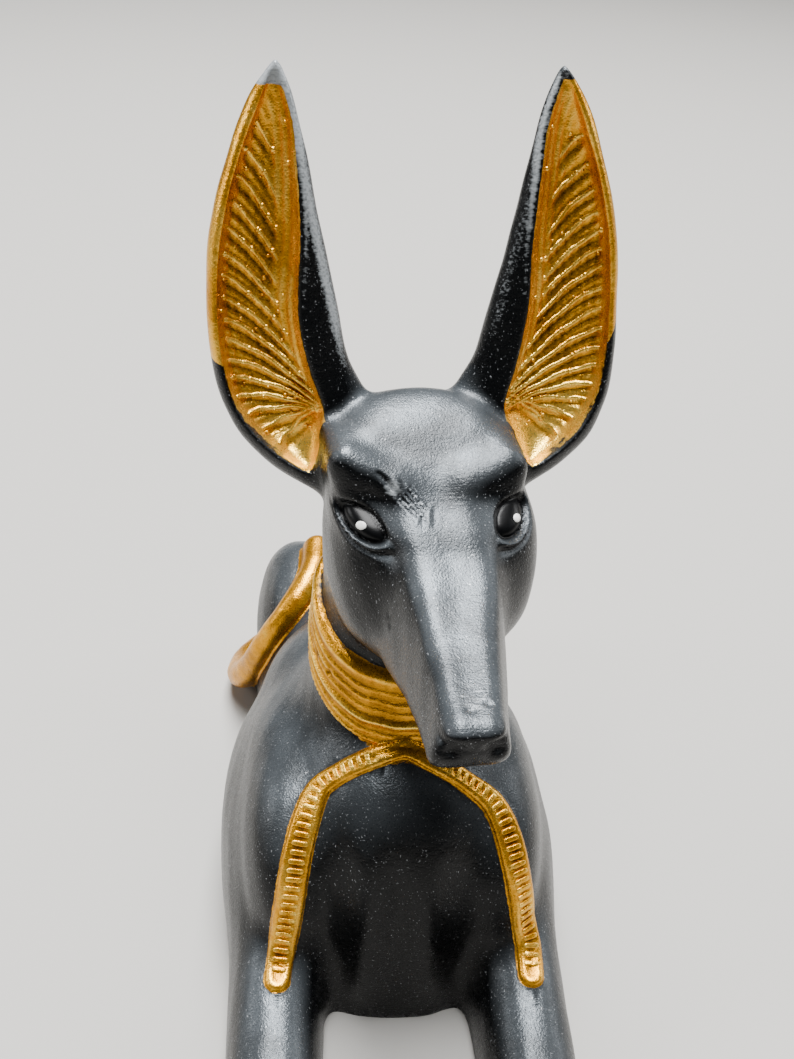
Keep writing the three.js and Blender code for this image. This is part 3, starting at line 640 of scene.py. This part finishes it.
def relief(x, y, z):
    hx, hy = turned(x, y)
    h = handFinish(x, y, z)
    h = h + inBox(earRelief, (-50, -2, 108), (50, 36, 180), hx, hy, z, 0.0)
    h = h + inBox(nostrils, (-12, -70, 88), (12, -54, 104), hx, hy, z, 0.0)
    h = h + damage(x, y, z)
    onCollar = (np.abs(upCollar(y, z)) < 6.4) & (neckDistance(x, y, z) < 4)
    h[onCollar] += collarRelief(x[onCollar], y[onCollar], z[onCollar])
    onRibbon = ribbonDistance(x, y, z) < 0
    h[onRibbon] += ribbonRelief(x[onRibbon], y[onRibbon], z[onRibbon])
    return h


gilding = {
    "overRim": 3.2, "foot": 108.8, "tops": (177, 178.8), "back": 4.5, "pastRibbon": 0.3, "pastTail": 0.9,
}


# How far inside a gilded place a point is, in mm
def goldInside(x, y, z):
    hx, hy = turned(x, y)
    goldOut, goldIn = earEdges(hx, z)[2:]
    side = np.abs(hx)
    # The gold runs out over the ear's rim, except low down
    bare = np.where(hx < 0, 1 - ramp(z, 128.8, 130), 1 - 0.6 * ramp(z, 132, 136) - 0.4 * ramp(z, 149, 152))
    outEdge = goldOut + gilding["overRim"] - gilding["overRim"] * bare
    inEar = np.minimum(np.minimum(outEdge - side, side - goldIn), beforeBack(hx, hy, z))
    inEar = np.minimum(inEar, np.minimum(z - gilding["foot"], np.where(hx < 0, *gilding["tops"]) - z))
    inEar = np.where((z > 105) & (hy > gilding["back"]), inEar, -9.0)
    up = upCollar(y, z)
    onCollar = np.minimum(collar["width"] / 2 + 0.1 - np.abs(up), 4 - neckDistance(x, y, z))
    onRibbon = gilding["pastRibbon"] - ribbonDistance(x, y, z)
    onTail = np.minimum(gilding["pastTail"] - tailDistance(x, y, z), 3.0)
    return np.clip(np.maximum(np.maximum(inEar, onCollar), np.maximum(onRibbon, onTail)), -9, 9)


# How much the black shows light grey, from 0 to 1: worn ear tips, a band beside the gold on the ears' inner
# walls, a painted highlight along those walls, the worn end of the muzzle, the scrape over one eye
def wearAndSheen(x, y, z):
    hx, hy = turned(x, y)
    goldIn = earEdges(hx, z)[3]
    tips = ramp(z, 174.5, 177.5) * np.where(hx < 0, 1, 0.35)
    edge = bell(np.abs(hx) - goldIn + 1.1, 0.8) * ramp(z, 128, 165) * ramp(earMiddle(z) - hy, -1, 1)
    # Painted highlight: a light grey streak along each ear's inner wall, brighter on the ear on -X
    wallHighlight = bell(np.abs(hx) - earEdges(x, z)[1] - 1.2, 1.3) * ramp(z, 122, 136)
    wallHighlight = wallHighlight * (0.75 - 0.25 * np.sign(hx))
    nose = spot(x, y, z, (6, -55), (4, 7)) * ramp(z, 97, 101)
    scrape = spot(x, y, z, (-4.4, -14, 115.8), (2.4, 2.2, 2.4), 2)
    ears = np.maximum(tips, np.maximum(edge, wallHighlight) * (hy > 2.5))
    return np.maximum(ears, np.maximum(0.5 * nose, 0.75 * scrape))


def eyeInside(x, y, z):
    hx, hy = turned(x, y)
    rim = eyeFrame(np.abs(hx - swayAt(z)), hy, z)[2]
    onFace = (z > 102) & (z < 119) & (hy < -4) & (hy > -28)
    return np.where(onFace, (1.12 - rim) * 2.6, -9.0)


def meshFrom(name, points, polygons):
    mesh = bpy.data.meshes.new(name)
    size = polygons.shape[1]
    mesh.vertices.add(len(points))
    mesh.vertices.foreach_set("co", points.astype(np.float32).ravel())
    mesh.loops.add(polygons.size)
    mesh.loops.foreach_set("vertex_index", polygons.astype(np.int32).ravel())
    mesh.polygons.add(len(polygons))
    mesh.polygons.foreach_set("loop_start", np.arange(0, polygons.size, size, dtype=np.int32))
    mesh.update(calc_edges=True)
    mesh.validate()
    return addObject(name, mesh)


# Quads over rows of points; closed rows join up into rings
def gridQuads(rows, columns, closed):
    row, column = np.indices((rows - 1, columns if closed else columns - 1)).reshape(2, -1)
    a, b = row * columns + column, row * columns + (column + 1) % columns
    return np.stack([a, b, b + columns, a + columns], 1)


def pointsOf(mesh):
    flat = np.empty(len(mesh.vertices) * 3, np.float32)
    mesh.vertices.foreach_get("co", flat)
    return flat.reshape(-1, 3).astype(float)


# From millimetres in the casting's own places to metres in the frame, and back
def placed(points):
    return (np.asarray(points, float) - middle) * mm


def unplaced(points):
    return points / mm + middle


# Turns a modifier's result into the object's own plain mesh
def bake(obj):
    bpy.context.view_layer.update()
    graph = bpy.context.evaluated_depsgraph_get()
    obj.data = bpy.data.meshes.new_from_object(
        obj.evaluated_get(graph), preserve_all_data_layers=True, depsgraph=graph)
    obj.modifiers.clear()


# Smooth all over, in one paint
def dress(mesh, paintwork):
    mesh.polygons.foreach_set("use_smooth", [True] * len(mesh.polygons))
    mesh.materials.append(paintwork)


def finish(piece):
    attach(piece, "root")
    print("stage:", piece.name, len(piece.data.polygons), "faces")


# Cuts off what is below the table's top and closes the skin there
def sawFlat(mesh):
    work = bmesh.new()
    work.from_mesh(mesh)
    every = work.verts[:] + work.edges[:] + work.faces[:]
    down = (0, 0, -1)
    bmesh.ops.bisect_plane(work, geom=every, dist=1e-4, plane_co=(0, 0, 0), plane_no=down, clear_outer=True)
    rim = [edge for edge in work.edges if edge.is_boundary]
    filled = bmesh.ops.triangle_fill(work, use_beauty=True, edges=rim, normal=down)
    for item in filled["geom"]:
        if isinstance(item, bmesh.types.BMFace):
            item.smooth = False
    bmesh.ops.recalc_face_normals(work, faces=work.faces[:])
    bmesh.ops.triangulate(work, faces=[f for f in work.faces if len(f.verts) > 3])
    work.to_mesh(mesh)
    work.free()


# What the paint reads: how far inside the gold and the eyes a point is, its relief, read higher for painted
# highlights on the gold, and the wear with its painted sheen
def setPaintFields(mesh, raised=0.0):
    x, y, z = unplaced(pointsOf(mesh)).T
    # Painted highlight on the ears' gold: the relief is read higher, so the gold is lighter, a little all
    # over and most at the foot
    rubAndHighlight = (0.1 + 0.4 * ramp(-z, -132, -112)) * (z > 108)         # most at the foot of the ears
    fields = {"goldInside": goldInside(x, y, z), "eyeInside": eyeInside(x, y, z),
              "relief": relief(x, y, z) + raised + rubAndHighlight, "wearAndSheen": wearAndSheen(x, y, z)}
    for name, values in fields.items():
        mesh.attributes.new(name, "FLOAT", "POINT").data.foreach_set("value", values.astype(np.float32))


def makeSkin(paintwork):
    step = net["step"]
    counts = [int(math.ceil((b - a) / step)) + 1 for a, b in zip(net["low"], net["high"])]
    points, quads = surfaceNet(net["low"], counts, step)
    points, out = settle(points, step)
    x, y, z = points.T
    points = points + out * relief(x, y, z)[:, None]
    skin = meshFrom("jackalSkin", points, quads)
    if len(quads) * 2 > net["triangles"]:
        # The face and the ears' hollows keep all their points
        fine = ((y < -8) & (z > 90)) | ((z > 109) & (goldInside(x, y, z) > -0.8))
        coarse = skin.vertex_groups.new(name="coarse")
        coarse.add(np.flatnonzero(~fine).tolist(), 1.0, "REPLACE")
        thin = skin.modifiers.new("thin", "DECIMATE")
        thin.ratio = net["triangles"] / (len(quads) * 2)
        thin.vertex_group = coarse.name
        bake(skin)
        skin.vertex_groups.clear()
    dress(skin.data, paintwork)
    sawFlat(skin.data)
    skin.data.vertices.foreach_set("co", placed(pointsOf(skin.data)).astype(np.float32).ravel())
    skin.data.update()
    setPaintFields(skin.data)
    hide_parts("jackal_figure")
    finish(skin)


# Adds one node with the sockets that feed it, its fixed inputs and its settings, and gives its outputs
def addNode(tree, kind, links={}, values={}, **settings):
    node = tree.nodes.new(kind)
    for name, value in settings.items():
        setattr(node, name, value)
    for socket, value in values.items():
        node.inputs[socket].default_value = value
    for socket, source in links.items():
        tree.links.new(source, node.inputs[socket])
    return node.outputs


# A geometry tree with named inputs, each of the kind that its value has
def newTree(name, inputs):
    tree = bpy.data.node_groups.new(name, "GeometryNodeTree")
    tree.interface.new_socket("Geometry", in_out="INPUT", socket_type="NodeSocketGeometry")
    for label, value in inputs.items():
        kind = {float: "Float", int: "Int"}.get(type(value), "Material")
        tree.interface.new_socket(label, in_out="INPUT", socket_type="NodeSocket" + kind)
    tree.interface.new_socket("Geometry", in_out="OUTPUT", socket_type="NodeSocketGeometry")
    return tree, addNode(tree, "NodeGroupInput")


# Closes a tree: everything real, smooth and painted
def endTree(tree, geometry, paintSocket):
    real = addNode(tree, "GeometryNodeRealizeInstances", {"Geometry": geometry})[0]
    smooth = addNode(tree, "GeometryNodeSetShadeSmooth", {"Geometry": real})[0]
    painted = addNode(tree, "GeometryNodeSetMaterial", {"Geometry": smooth, "Material": paintSocket})[0]
    addNode(tree, "NodeGroupOutput", {"Geometry": painted})


# Grows a piece from a mesh of lines or faces, and gives it the paint's fields
def grow(obj, tree, inputs):
    modifier = obj.modifiers.new("grow", "NODES")
    modifier.node_group = tree
    for item in tree.interface.items_tree:
        if item.in_out == "INPUT" and item.name in inputs:
            modifier[item.identifier] = inputs[item.name]
    bake(obj)
    # Painted highlight: the grown pieces' relief is read 0.2 mm higher, so their gold is painted lighter
    setPaintFields(obj.data, raised=0.2)
    finish(obj)


# Lines as one mesh of edges, with a value or a direction at each point
def linesMesh(name, lines, fields):
    points = np.vstack(lines)
    starts = np.cumsum([0] + [len(line) for line in lines])
    edges = [(i, i + 1) for a, b in zip(starts[:-1], starts[1:]) for i in range(a, b - 1)]
    mesh = bpy.data.meshes.new(name)
    mesh.from_pydata(placed(points).tolist(), edges, [])
    for label, values in fields.items():
        values = np.concatenate(values).astype(np.float32)
        kind, key = ("FLOAT_VECTOR", "vector") if values.ndim == 2 else ("FLOAT", "value")
        mesh.attributes.new(label, kind, "POINT").data.foreach_set(key, values.ravel())
    return addObject(name, mesh)


# Places on the front of an ear, found by looking in from the front at a width and a height
def onEar(x, z):
    step = 0.1
    look = np.arange(-6, 30, step)
    value = ear(x[:, None] + 0 * look, look + 0 * x[:, None], z[:, None] + 0 * look)
    row = np.arange(len(x))
    first = np.maximum((value < 0).argmax(1), 1)
    a, b = value[row, first - 1], value[row, first]
    wx, wy = turned(x, look[first - 1] + step * a / (a - b), -headTurn)
    return np.stack([wx, wy, z], 1)


# Bubbles left in the mould's detail come out as small balls
beads = {"perSquareMetre": 45000.0, "onRibs": 0.45, "least": 0.2, "most": 0.5, "seed": 8}
ball = {"Radius": 1.0, "Subdivisions": 2}


def makeEarRibs(paintwork):
    inputs = {"Thickness": ribs["thick"] * mm, "Spacing": ribs["spacing"] * mm, "Bead": ribs["bead"] * mm,
              "Bead Share": beads["onRibs"], "Seed": beads["seed"], "Paint": paintwork}
    tree, given = newTree("sweepAlongLines", inputs)
    line = addNode(tree, "GeometryNodeMeshToCurve", {"Mesh": given["Geometry"]})[0]
    even = addNode(tree, "GeometryNodeResampleCurve", {"Curve": line, "Length": given["Spacing"]},
                   mode="LENGTH")[0]
    ring = addNode(tree, "GeometryNodeCurvePrimitiveCircle",
                   {"Radius": given["Thickness"]}, {"Resolution": 7})
    taper = addNode(tree, "GeometryNodeInputNamedAttribute", values={"Name": "taper"})
    swept = addNode(tree, "GeometryNodeCurveToMesh", {
        "Curve": even, "Profile Curve": ring[0], "Scale": taper["Attribute"]}, {"Fill Caps": True})
    some = addNode(tree, "FunctionNodeRandomValue", {
        "Probability": given["Bead Share"], "Seed": given["Seed"]}, data_type="BOOLEAN")
    size = addNode(tree, "FunctionNodeRandomValue", {"Max": given["Bead"], "Seed": given["Seed"]})
    beadsOn = addNode(tree, "GeometryNodeInstanceOnPoints", {
        "Points": even, "Selection": some[3], "Scale": size[1],
        "Instance": addNode(tree, "GeometryNodeMeshIcoSphere", values=ball)["Mesh"]})
    both = addNode(tree, "GeometryNodeJoinGeometry", {"Geometry": swept[0]})[0]
    tree.links.new(beadsOn[0], both.node.inputs["Geometry"])
    endTree(tree, both, given["Paint"])
    lines, tapers = [], []
    dice = np.random.default_rng(ribs["seed"])
    for sign, starts in ((-1, ribs["left"]), (1, ribs["right"])):
        for start in starts:
            u = np.linspace(0.3, 19, 80)
            z = ribHeight(sign, start, u)[0] + 0.16 * np.sin(u * 0.9 + start)
            x = sign * (earEdges(sign + 0 * u, z)[2] - ribs["rim"] - u)
            fade = ribFade(u, np.abs(x) - earEdges(x, z)[3], z)
            keep = (fade > 0.12) & (z > ribs["lowest"])
            if keep.sum() < ribs["fewestPoints"]:
                continue
            taper = (0.4 + 0.6 * fade[keep]) * (0.85 + 0.25 * dice.random())
            taper *= 1 + 0.12 * np.sin(3.1 * u[keep] + start)
            place = onEar(x[keep], z[keep])
            place[:, 1] += ribs["sunk"] * taper
            lines.append(place)
            tapers.append(taper)
    grow(linesMesh("earRibs", lines, {"taper": tapers}), tree, inputs)


def makeBeads(paintwork):
    inputs = {"Density": beads["perSquareMetre"], "Least": beads["least"] * mm, "Most": beads["most"] * mm,
              "Seed": beads["seed"], "Paint": paintwork}
    tree, given = newTree("castingBeads", inputs)
    spots = addNode(tree, "GeometryNodeDistributePointsOnFaces", {
        "Mesh": given["Geometry"], "Density": given["Density"], "Seed": given["Seed"]})
    size = addNode(tree, "FunctionNodeRandomValue", {
        "Min": given["Least"], "Max": given["Most"], "Seed": given["Seed"]})
    balls = addNode(tree, "GeometryNodeInstanceOnPoints", {
        "Points": spots["Points"], "Scale": size["Value"],
        "Instance": addNode(tree, "GeometryNodeMeshIcoSphere", values=ball)["Mesh"]})
    endTree(tree, balls[0], given["Paint"])
    rows, columns = 40, 10
    points, quads = [], []
    for sign in (-1, 1):
        share, z = np.meshgrid(np.linspace(0.1, 0.97, columns), np.linspace(112, 172, rows))
        share, z = share.ravel(), z.ravel()
        goldOut, goldIn = earEdges(sign + 0 * z, z)[2:]
        points.append(onEar(sign * (goldIn + (goldOut - goldIn) * share), z))
        quads.append(gridQuads(rows, columns, closed=False) + len(z) * len(quads))
    grow(meshFrom("castingBeads", placed(np.concatenate(points)), np.concatenate(quads)), tree, inputs)


# Small rounded bars lie across both ribbons, like the weave of a sash
bars = {"pitch": 1.75, "thick": 1.1, "rise": 0.62, "sunk": 0.12, "across": 1.2, "from": 0.13, "to": 0.965}


def makeRibbonBars(paintwork):
    inputs = {"Pitch": bars["pitch"] * mm, "Thickness": bars["thick"] * mm, "Rise": bars["rise"] * mm,
              "Paint": paintwork}
    tree, given = newTree("barsAlongLines", inputs)
    line = addNode(tree, "GeometryNodeMeshToCurve", {"Mesh": given["Geometry"]})[0]
    even = addNode(tree, "GeometryNodeResampleCurve", {"Curve": line, "Length": given["Pitch"]},
                   mode="LENGTH")
    block = addNode(tree, "GeometryNodeMeshCube", values={"Size": (1, 1, 1)})["Mesh"]
    bar = addNode(tree, "GeometryNodeSubdivisionSurface", {"Mesh": block}, {"Level": 2, "Edge Crease": 0.35})
    out, width = (addNode(tree, "GeometryNodeInputNamedAttribute", values={"Name": name}, data_type=kind)
                  for name, kind in (("out", "FLOAT_VECTOR"), ("width", "FLOAT")))
    upright = addNode(tree, "FunctionNodeAlignRotationToVector", {"Vector": out["Attribute"]}, axis="Z")
    along = addNode(tree, "GeometryNodeInputTangent")[0]
    facing = addNode(tree, "FunctionNodeAlignRotationToVector", {
        "Rotation": upright[0], "Vector": along}, axis="X", pivot_axis="Z")
    size = addNode(tree, "ShaderNodeCombineXYZ", {
        "X": given["Thickness"], "Y": width["Attribute"], "Z": given["Rise"]})
    placedBars = addNode(tree, "GeometryNodeInstanceOnPoints", {
        "Points": even[0], "Instance": bar[0], "Rotation": facing[0], "Scale": size[0]})
    endTree(tree, placedBars[0], given["Paint"])
    lines, outs, widths = [], [], []
    fine = 200
    for side in ("left", "right"):
        share = np.linspace(bars["from"], bars["to"], 60)
        whole = smoothPath(ribbon[side], fine)
        points = [np.interp(share, np.linspace(0, 1, fine + 1), whole[:, axis]) for axis in range(3)]
        points = np.stack(points, 1)
        for turn in range(3):
            points, out = settle(points, 3.0)
        lines.append(points - bars["sunk"] * out)
        outs.append(out)
        widths.append(bars["across"] * ribbon["half"] * ribbonTaper(share) * mm)
    grow(linesMesh("ribbonBars", lines, {"out": outs, "width": widths}), tree, inputs)


# Gloss black runs over each eye and into the corners of its lids: a film found by looking in at the skin
gloss = {"reach": 1.1, "away": 4, "above": 0.08, "sunkEdge": 0.2, "rings": 16, "steps": 64}


def makeEyeGloss(paintwork):
    rings, steps = gloss["rings"], gloss["steps"]
    ring, step = np.indices((rings + 1, steps)).reshape(2, -1)
    share = np.maximum(ring / rings, 0.02) * gloss["reach"]
    angle = 2 * math.pi * step / steps
    rise = np.where(np.sin(angle) > 0, face["lidUp"], face["lidDown"]) * share * np.sin(angle)
    flat = np.array(face["eyeCentre"]) + gloss["away"] * eyeOut
    flat = flat + np.outer(face["eyeHalf"] * share * np.cos(angle), eyeAlong) + np.outer(rise, eyeUp)
    points, quads = [], []
    for sign in (-1, 1):
        z = flat[:, 2]
        x, y = turned(sign * flat[:, 0] + swayAt(z), flat[:, 1], -headTurn)
        ox, oy = np.array(turned(sign * eyeOut[0], eyeOut[1], -headTurn)) - turned(0, 0, -headTurn)
        for look in range(16):
            away = 0.8 * figure(x, y, z)
            x, y, z = x - ox * away, y - oy * away, z - eyeOut[2] * away
        lift = relief(x, y, z) + np.where(ring == rings, -gloss["sunkEdge"], gloss["above"])
        points.append(np.stack([x + ox * lift, y + oy * lift, z + eyeOut[2] * lift], 1))
        loop = gridQuads(rings + 1, steps, closed=True) + len(z) * len(quads)
        quads.append(loop[:, ::sign])
    obj = meshFrom("eyeGloss", placed(np.concatenate(points)), np.concatenate(quads))
    dress(obj.data, paintwork)
    finish(obj)


# A dab of white on each eye
dabs = {"places": [(-10.1, -16.3, 109.2), (18.8, -13.4, 109.2)], "half": (1.05, 0.8, 0.3)}


def makeEyeDabs(paintwork):
    work = bmesh.new()
    spots, outs = settle(np.array(dabs["places"], float), 2.0)
    for place, out in zip(placed(spots), outs):
        turn = Vector(out).to_track_quat("Z", "Y").to_matrix().to_4x4()
        size = Matrix.Diagonal([half * mm for half in dabs["half"]] + [1])
        bmesh.ops.create_uvsphere(work, u_segments=20, v_segments=10, radius=1,
                                  matrix=Matrix.Translation(place) @ turn @ size)
    bmesh.ops.recalc_face_normals(work, faces=work.faces[:])
    mesh = bpy.data.meshes.new("eyeDabs")
    work.to_mesh(mesh)
    work.free()
    dress(mesh, paintwork)
    finish(addObject("eyeDabs", mesh))


def linear(code):
    parts = [int(code[i:i + 2], 16) / 255 for i in (1, 3, 5)]
    return tuple(p / 12.92 if p <= 0.04045 else ((p + 0.055) / 1.055) ** 2.4 for p in parts) + (1.0,)


# What a paint's steps do: node, the sockets that a step's parts go to in turn, settings, output
works = {
    "noise": ("ShaderNodeTexNoise", ("Vector", "Scale", "Detail"), {}, "Fac"),
    "stretch": ("ShaderNodeMapping", ("Vector", "Scale", "Rotation"), {}, 0),
    "normal": ("ShaderNodeNewGeometry", (), {}, "Normal"),
    "upward": ("ShaderNodeSeparateXYZ", (0,), {}, 2),
    "range": ("ShaderNodeMapRange", ("Value", "From Min", "From Max", "To Min", "To Max"), {}, 0),
    "add": ("ShaderNodeMath", (0, 1, 2), {"operation": "MULTIPLY_ADD"}, 0),
    "times": ("ShaderNodeMath", (0, 1), {"operation": "MULTIPLY"}, 0),
    "mix": ("ShaderNodeMix", ("Factor", 2, 3), {}, 0),
    "colour": ("ShaderNodeMix", ("Factor", 6, 7), {"data_type": "RGBA"}, 2),
    "bump": ("ShaderNodeBump", ("Height", "Strength", "Distance", "Normal"), {}, 0),
    "shader": ("ShaderNodeBsdfPrincipled", ("Base Color", "Roughness", "Metallic", "Normal", "IOR"), {}, 0),
}


# A material from named steps; each part is the name of an earlier step, a colour or a number
def paintFrom(material, steps, fields=()):
    data = bpy.data.materials.new(material)
    data.use_nodes = True
    tree = data.node_tree
    tree.nodes.clear()
    made = {field: addNode(tree, "ShaderNodeAttribute", attribute_name=field)["Fac"] for field in fields}
    made["where"] = addNode(tree, "ShaderNodeTexCoord")["Object"]
    for name, work, *parts in steps:
        kind, sockets, settings, output = works[work]
        links, values = {}, {}
        for socket, part in zip(sockets, parts):
            if part in made:
                links[socket] = made[part]
            else:
                values[socket] = linear(part) if isinstance(part, str) else part
        made[name] = addNode(tree, kind, links, values, **settings)[output]
    addNode(tree, "ShaderNodeOutputMaterial", {"Surface": made["shader"]})
    return data


# Satin black acrylic on cast resin, with bronze-gold paint in the carved places and gloss on the eyes: soft
# broad highlights, partly painted in grey where the black faces up, broken up by brush grain and dust on the
# black; painted warm glints on the gold's crests and painted brown shade in its hollows
paint = [
    ("brush", "noise", "where", 1 / (0.35 * mm), 2),
    ("blotch", "noise", "where", 1 / (1.4 * mm), 3),
    ("broad", "noise", "where", 1 / (9 * mm), 3),
    ("dust", "noise", "where", 1 / (0.42 * mm), 1),
    ("swept", "stretch", "where", (0.16, 1, 1), (0, 0.3, 0.5)),
    ("stroke", "noise", "swept", 1 / (0.45 * mm), 2),
    ("edge", "add", "blotch", 0.45, "goldInside"),        # the gold's edge strays 0.45 mm
    ("isGold", "range", "edge", 0.165, 0.305),
    ("isEye", "range", "eyeInside", -0.35, 0.25),
    ("normal", "normal"),
    ("up", "upward", "normal"),
    # Painted highlight on the black: lighter grey in broad patches where the surface faces up, as the lamp
    # above would light it
    ("facingUp", "range", "up", 0.42, 0.95),
    ("patchy", "range", "broad", 0.35, 0.65, 0.5, 1.0),
    ("topHighlight", "times", "facingUp", "patchy"),
    ("specks", "range", "dust", 0.68, 0.76, 0, 0.45),
    # Light grey where the paint is worn or scraped, and as the painted highlight on the ears' inner walls,
    # streaked by brush strokes
    ("rubAndHighlight", "add", "stroke", 1, "wearAndSheen"),
    ("bare", "range", "rubAndHighlight", 0.95, 1.5, 0, 0.85),
    # Painted shade and painted highlight on the gold: dark brown where the relief sinks, bright yellow on its
    # crests
    ("height", "add", "blotch", 0.4, "relief"),
    ("body", "range", "height", -0.25, 0.28),
    ("crest", "range", "height", 0.26, 0.62),
    # Black paint, turned grey by the painted top highlight
    ("black", "colour", "topHighlight", "#040506", "#4E5357"),
    ("dusty", "colour", "specks", "black", "#A9ACAF"),
    ("scrapedAndHighlit", "colour", "bare", "dusty", "#A3A8AB"),
    # Gold, painted darker in the relief's hollows as shade and lighter on its crests as highlight
    ("gold", "colour", "body", "#573306", "#D6951A"),
    ("brightGold", "colour", "crest", "gold", "#FFD45C"),
    ("painted", "colour", "isGold", "scrapedAndHighlit", "brightGold"),
    ("all", "colour", "isEye", "painted", "#020203"),
    ("satin", "range", "brush", 0.3, 0.7, 0.24, 0.37),
    ("rough", "mix", "isEye", "satin", 0.3),
    # The painted top highlight is also made partly metallic, so that it shines more
    ("topHighlightMetal", "times", "topHighlight", 0.6),
    ("metal", "mix", "isGold", "topHighlightMetal", 0.85),
    ("fine", "bump", "brush", 0.9, 0.08 * mm),
    ("strokes", "bump", "stroke", 0.5, 0.09 * mm, "fine"),
    ("uneven", "bump", "blotch", 0.5, 0.15 * mm, "strokes"),
    ("shader", "shader", "all", "rough", "metal", "uneven", 1.3),
]
# Gloss black enamel: wet-looking, so that it stays black except for small sharp lights
blackEnamel = [
    ("uneven", "noise", "where", 1 / (1.2 * mm)),
    ("colour", "colour", "uneven", "#020203", "#08090A"),
    ("bump", "bump", "uneven", 0.3, 0.1 * mm),
    ("shader", "shader", "colour", 0.32, 0, "bump", 1.25),
]
# White enamel put on with the tip of a brush: thick, bright, slightly uneven
whiteEnamel = [
    ("uneven", "noise", "where", 1 / (0.5 * mm)),
    ("colour", "colour", "uneven", "#D9DAD6", "#F6F6F2"),
    ("bump", "bump", "uneven", 0.3, 0.05 * mm),
    ("shader", "shader", "colour", 0.3, 0, "bump"),
]


studio = {"floor": "#A09E9A", "half": 8, "air": "#DDE1E6", "world": 0.1, "aim": (0, 0, 0.09)}
lamps = [       # name, place in metres, width and length, watts
    ("softboxAbove", (0.0, 0.35, 1.7), (0.75, 1.7), 150.0),
    ("softboxLeft", (-1.4, 0.1, 0.75), (0.4, 0.8), 10.0),
    ("softboxRight", (1.4, 0.4, 0.75), (0.4, 0.8), 8.0),
]


def makeStudio():
    edge = studio["half"] * np.array([(-1, -1, 0), (1, -1, 0), (1, 1, 0), (-1, 1, 0)])
    floor = meshFrom("floor", edge, np.array([range(4)]))
    # Pale matt paper
    floor.data.materials.append(paintFrom("palePaper", [("shader", "shader", studio["floor"], 0.7)]))
    world = bpy.data.worlds.new("studioAir")
    world.use_nodes = True
    air = world.node_tree.nodes["Background"].inputs
    air["Color"].default_value = linear(studio["air"])
    air["Strength"].default_value = studio["world"]
    bpy.context.scene.world = world
    for name, place, size, power in lamps:
        data = bpy.data.lights.new(name, "AREA")
        data.shape = "RECTANGLE"
        data.size, data.size_y = size
        data.energy = power
        lamp = addObject(name, data)
        lamp.location = place
        lamp.rotation_euler = (Vector(studio["aim"]) - Vector(place)).to_track_quat("-Z", "Y").to_euler()


paintwork = paintFrom("satinBlackAndGoldPaint", paint, ("goldInside", "eyeInside", "relief", "wearAndSheen"))
makeSkin(paintwork)
makeEarRibs(paintwork)
makeBeads(paintwork)
makeRibbonBars(paintwork)
makeEyeGloss(paintFrom("glossBlackEnamel", blackEnamel))
makeEyeDabs(paintFrom("whiteEnamelDab", whiteEnamel))
makeStudio()
print("stage: studio")
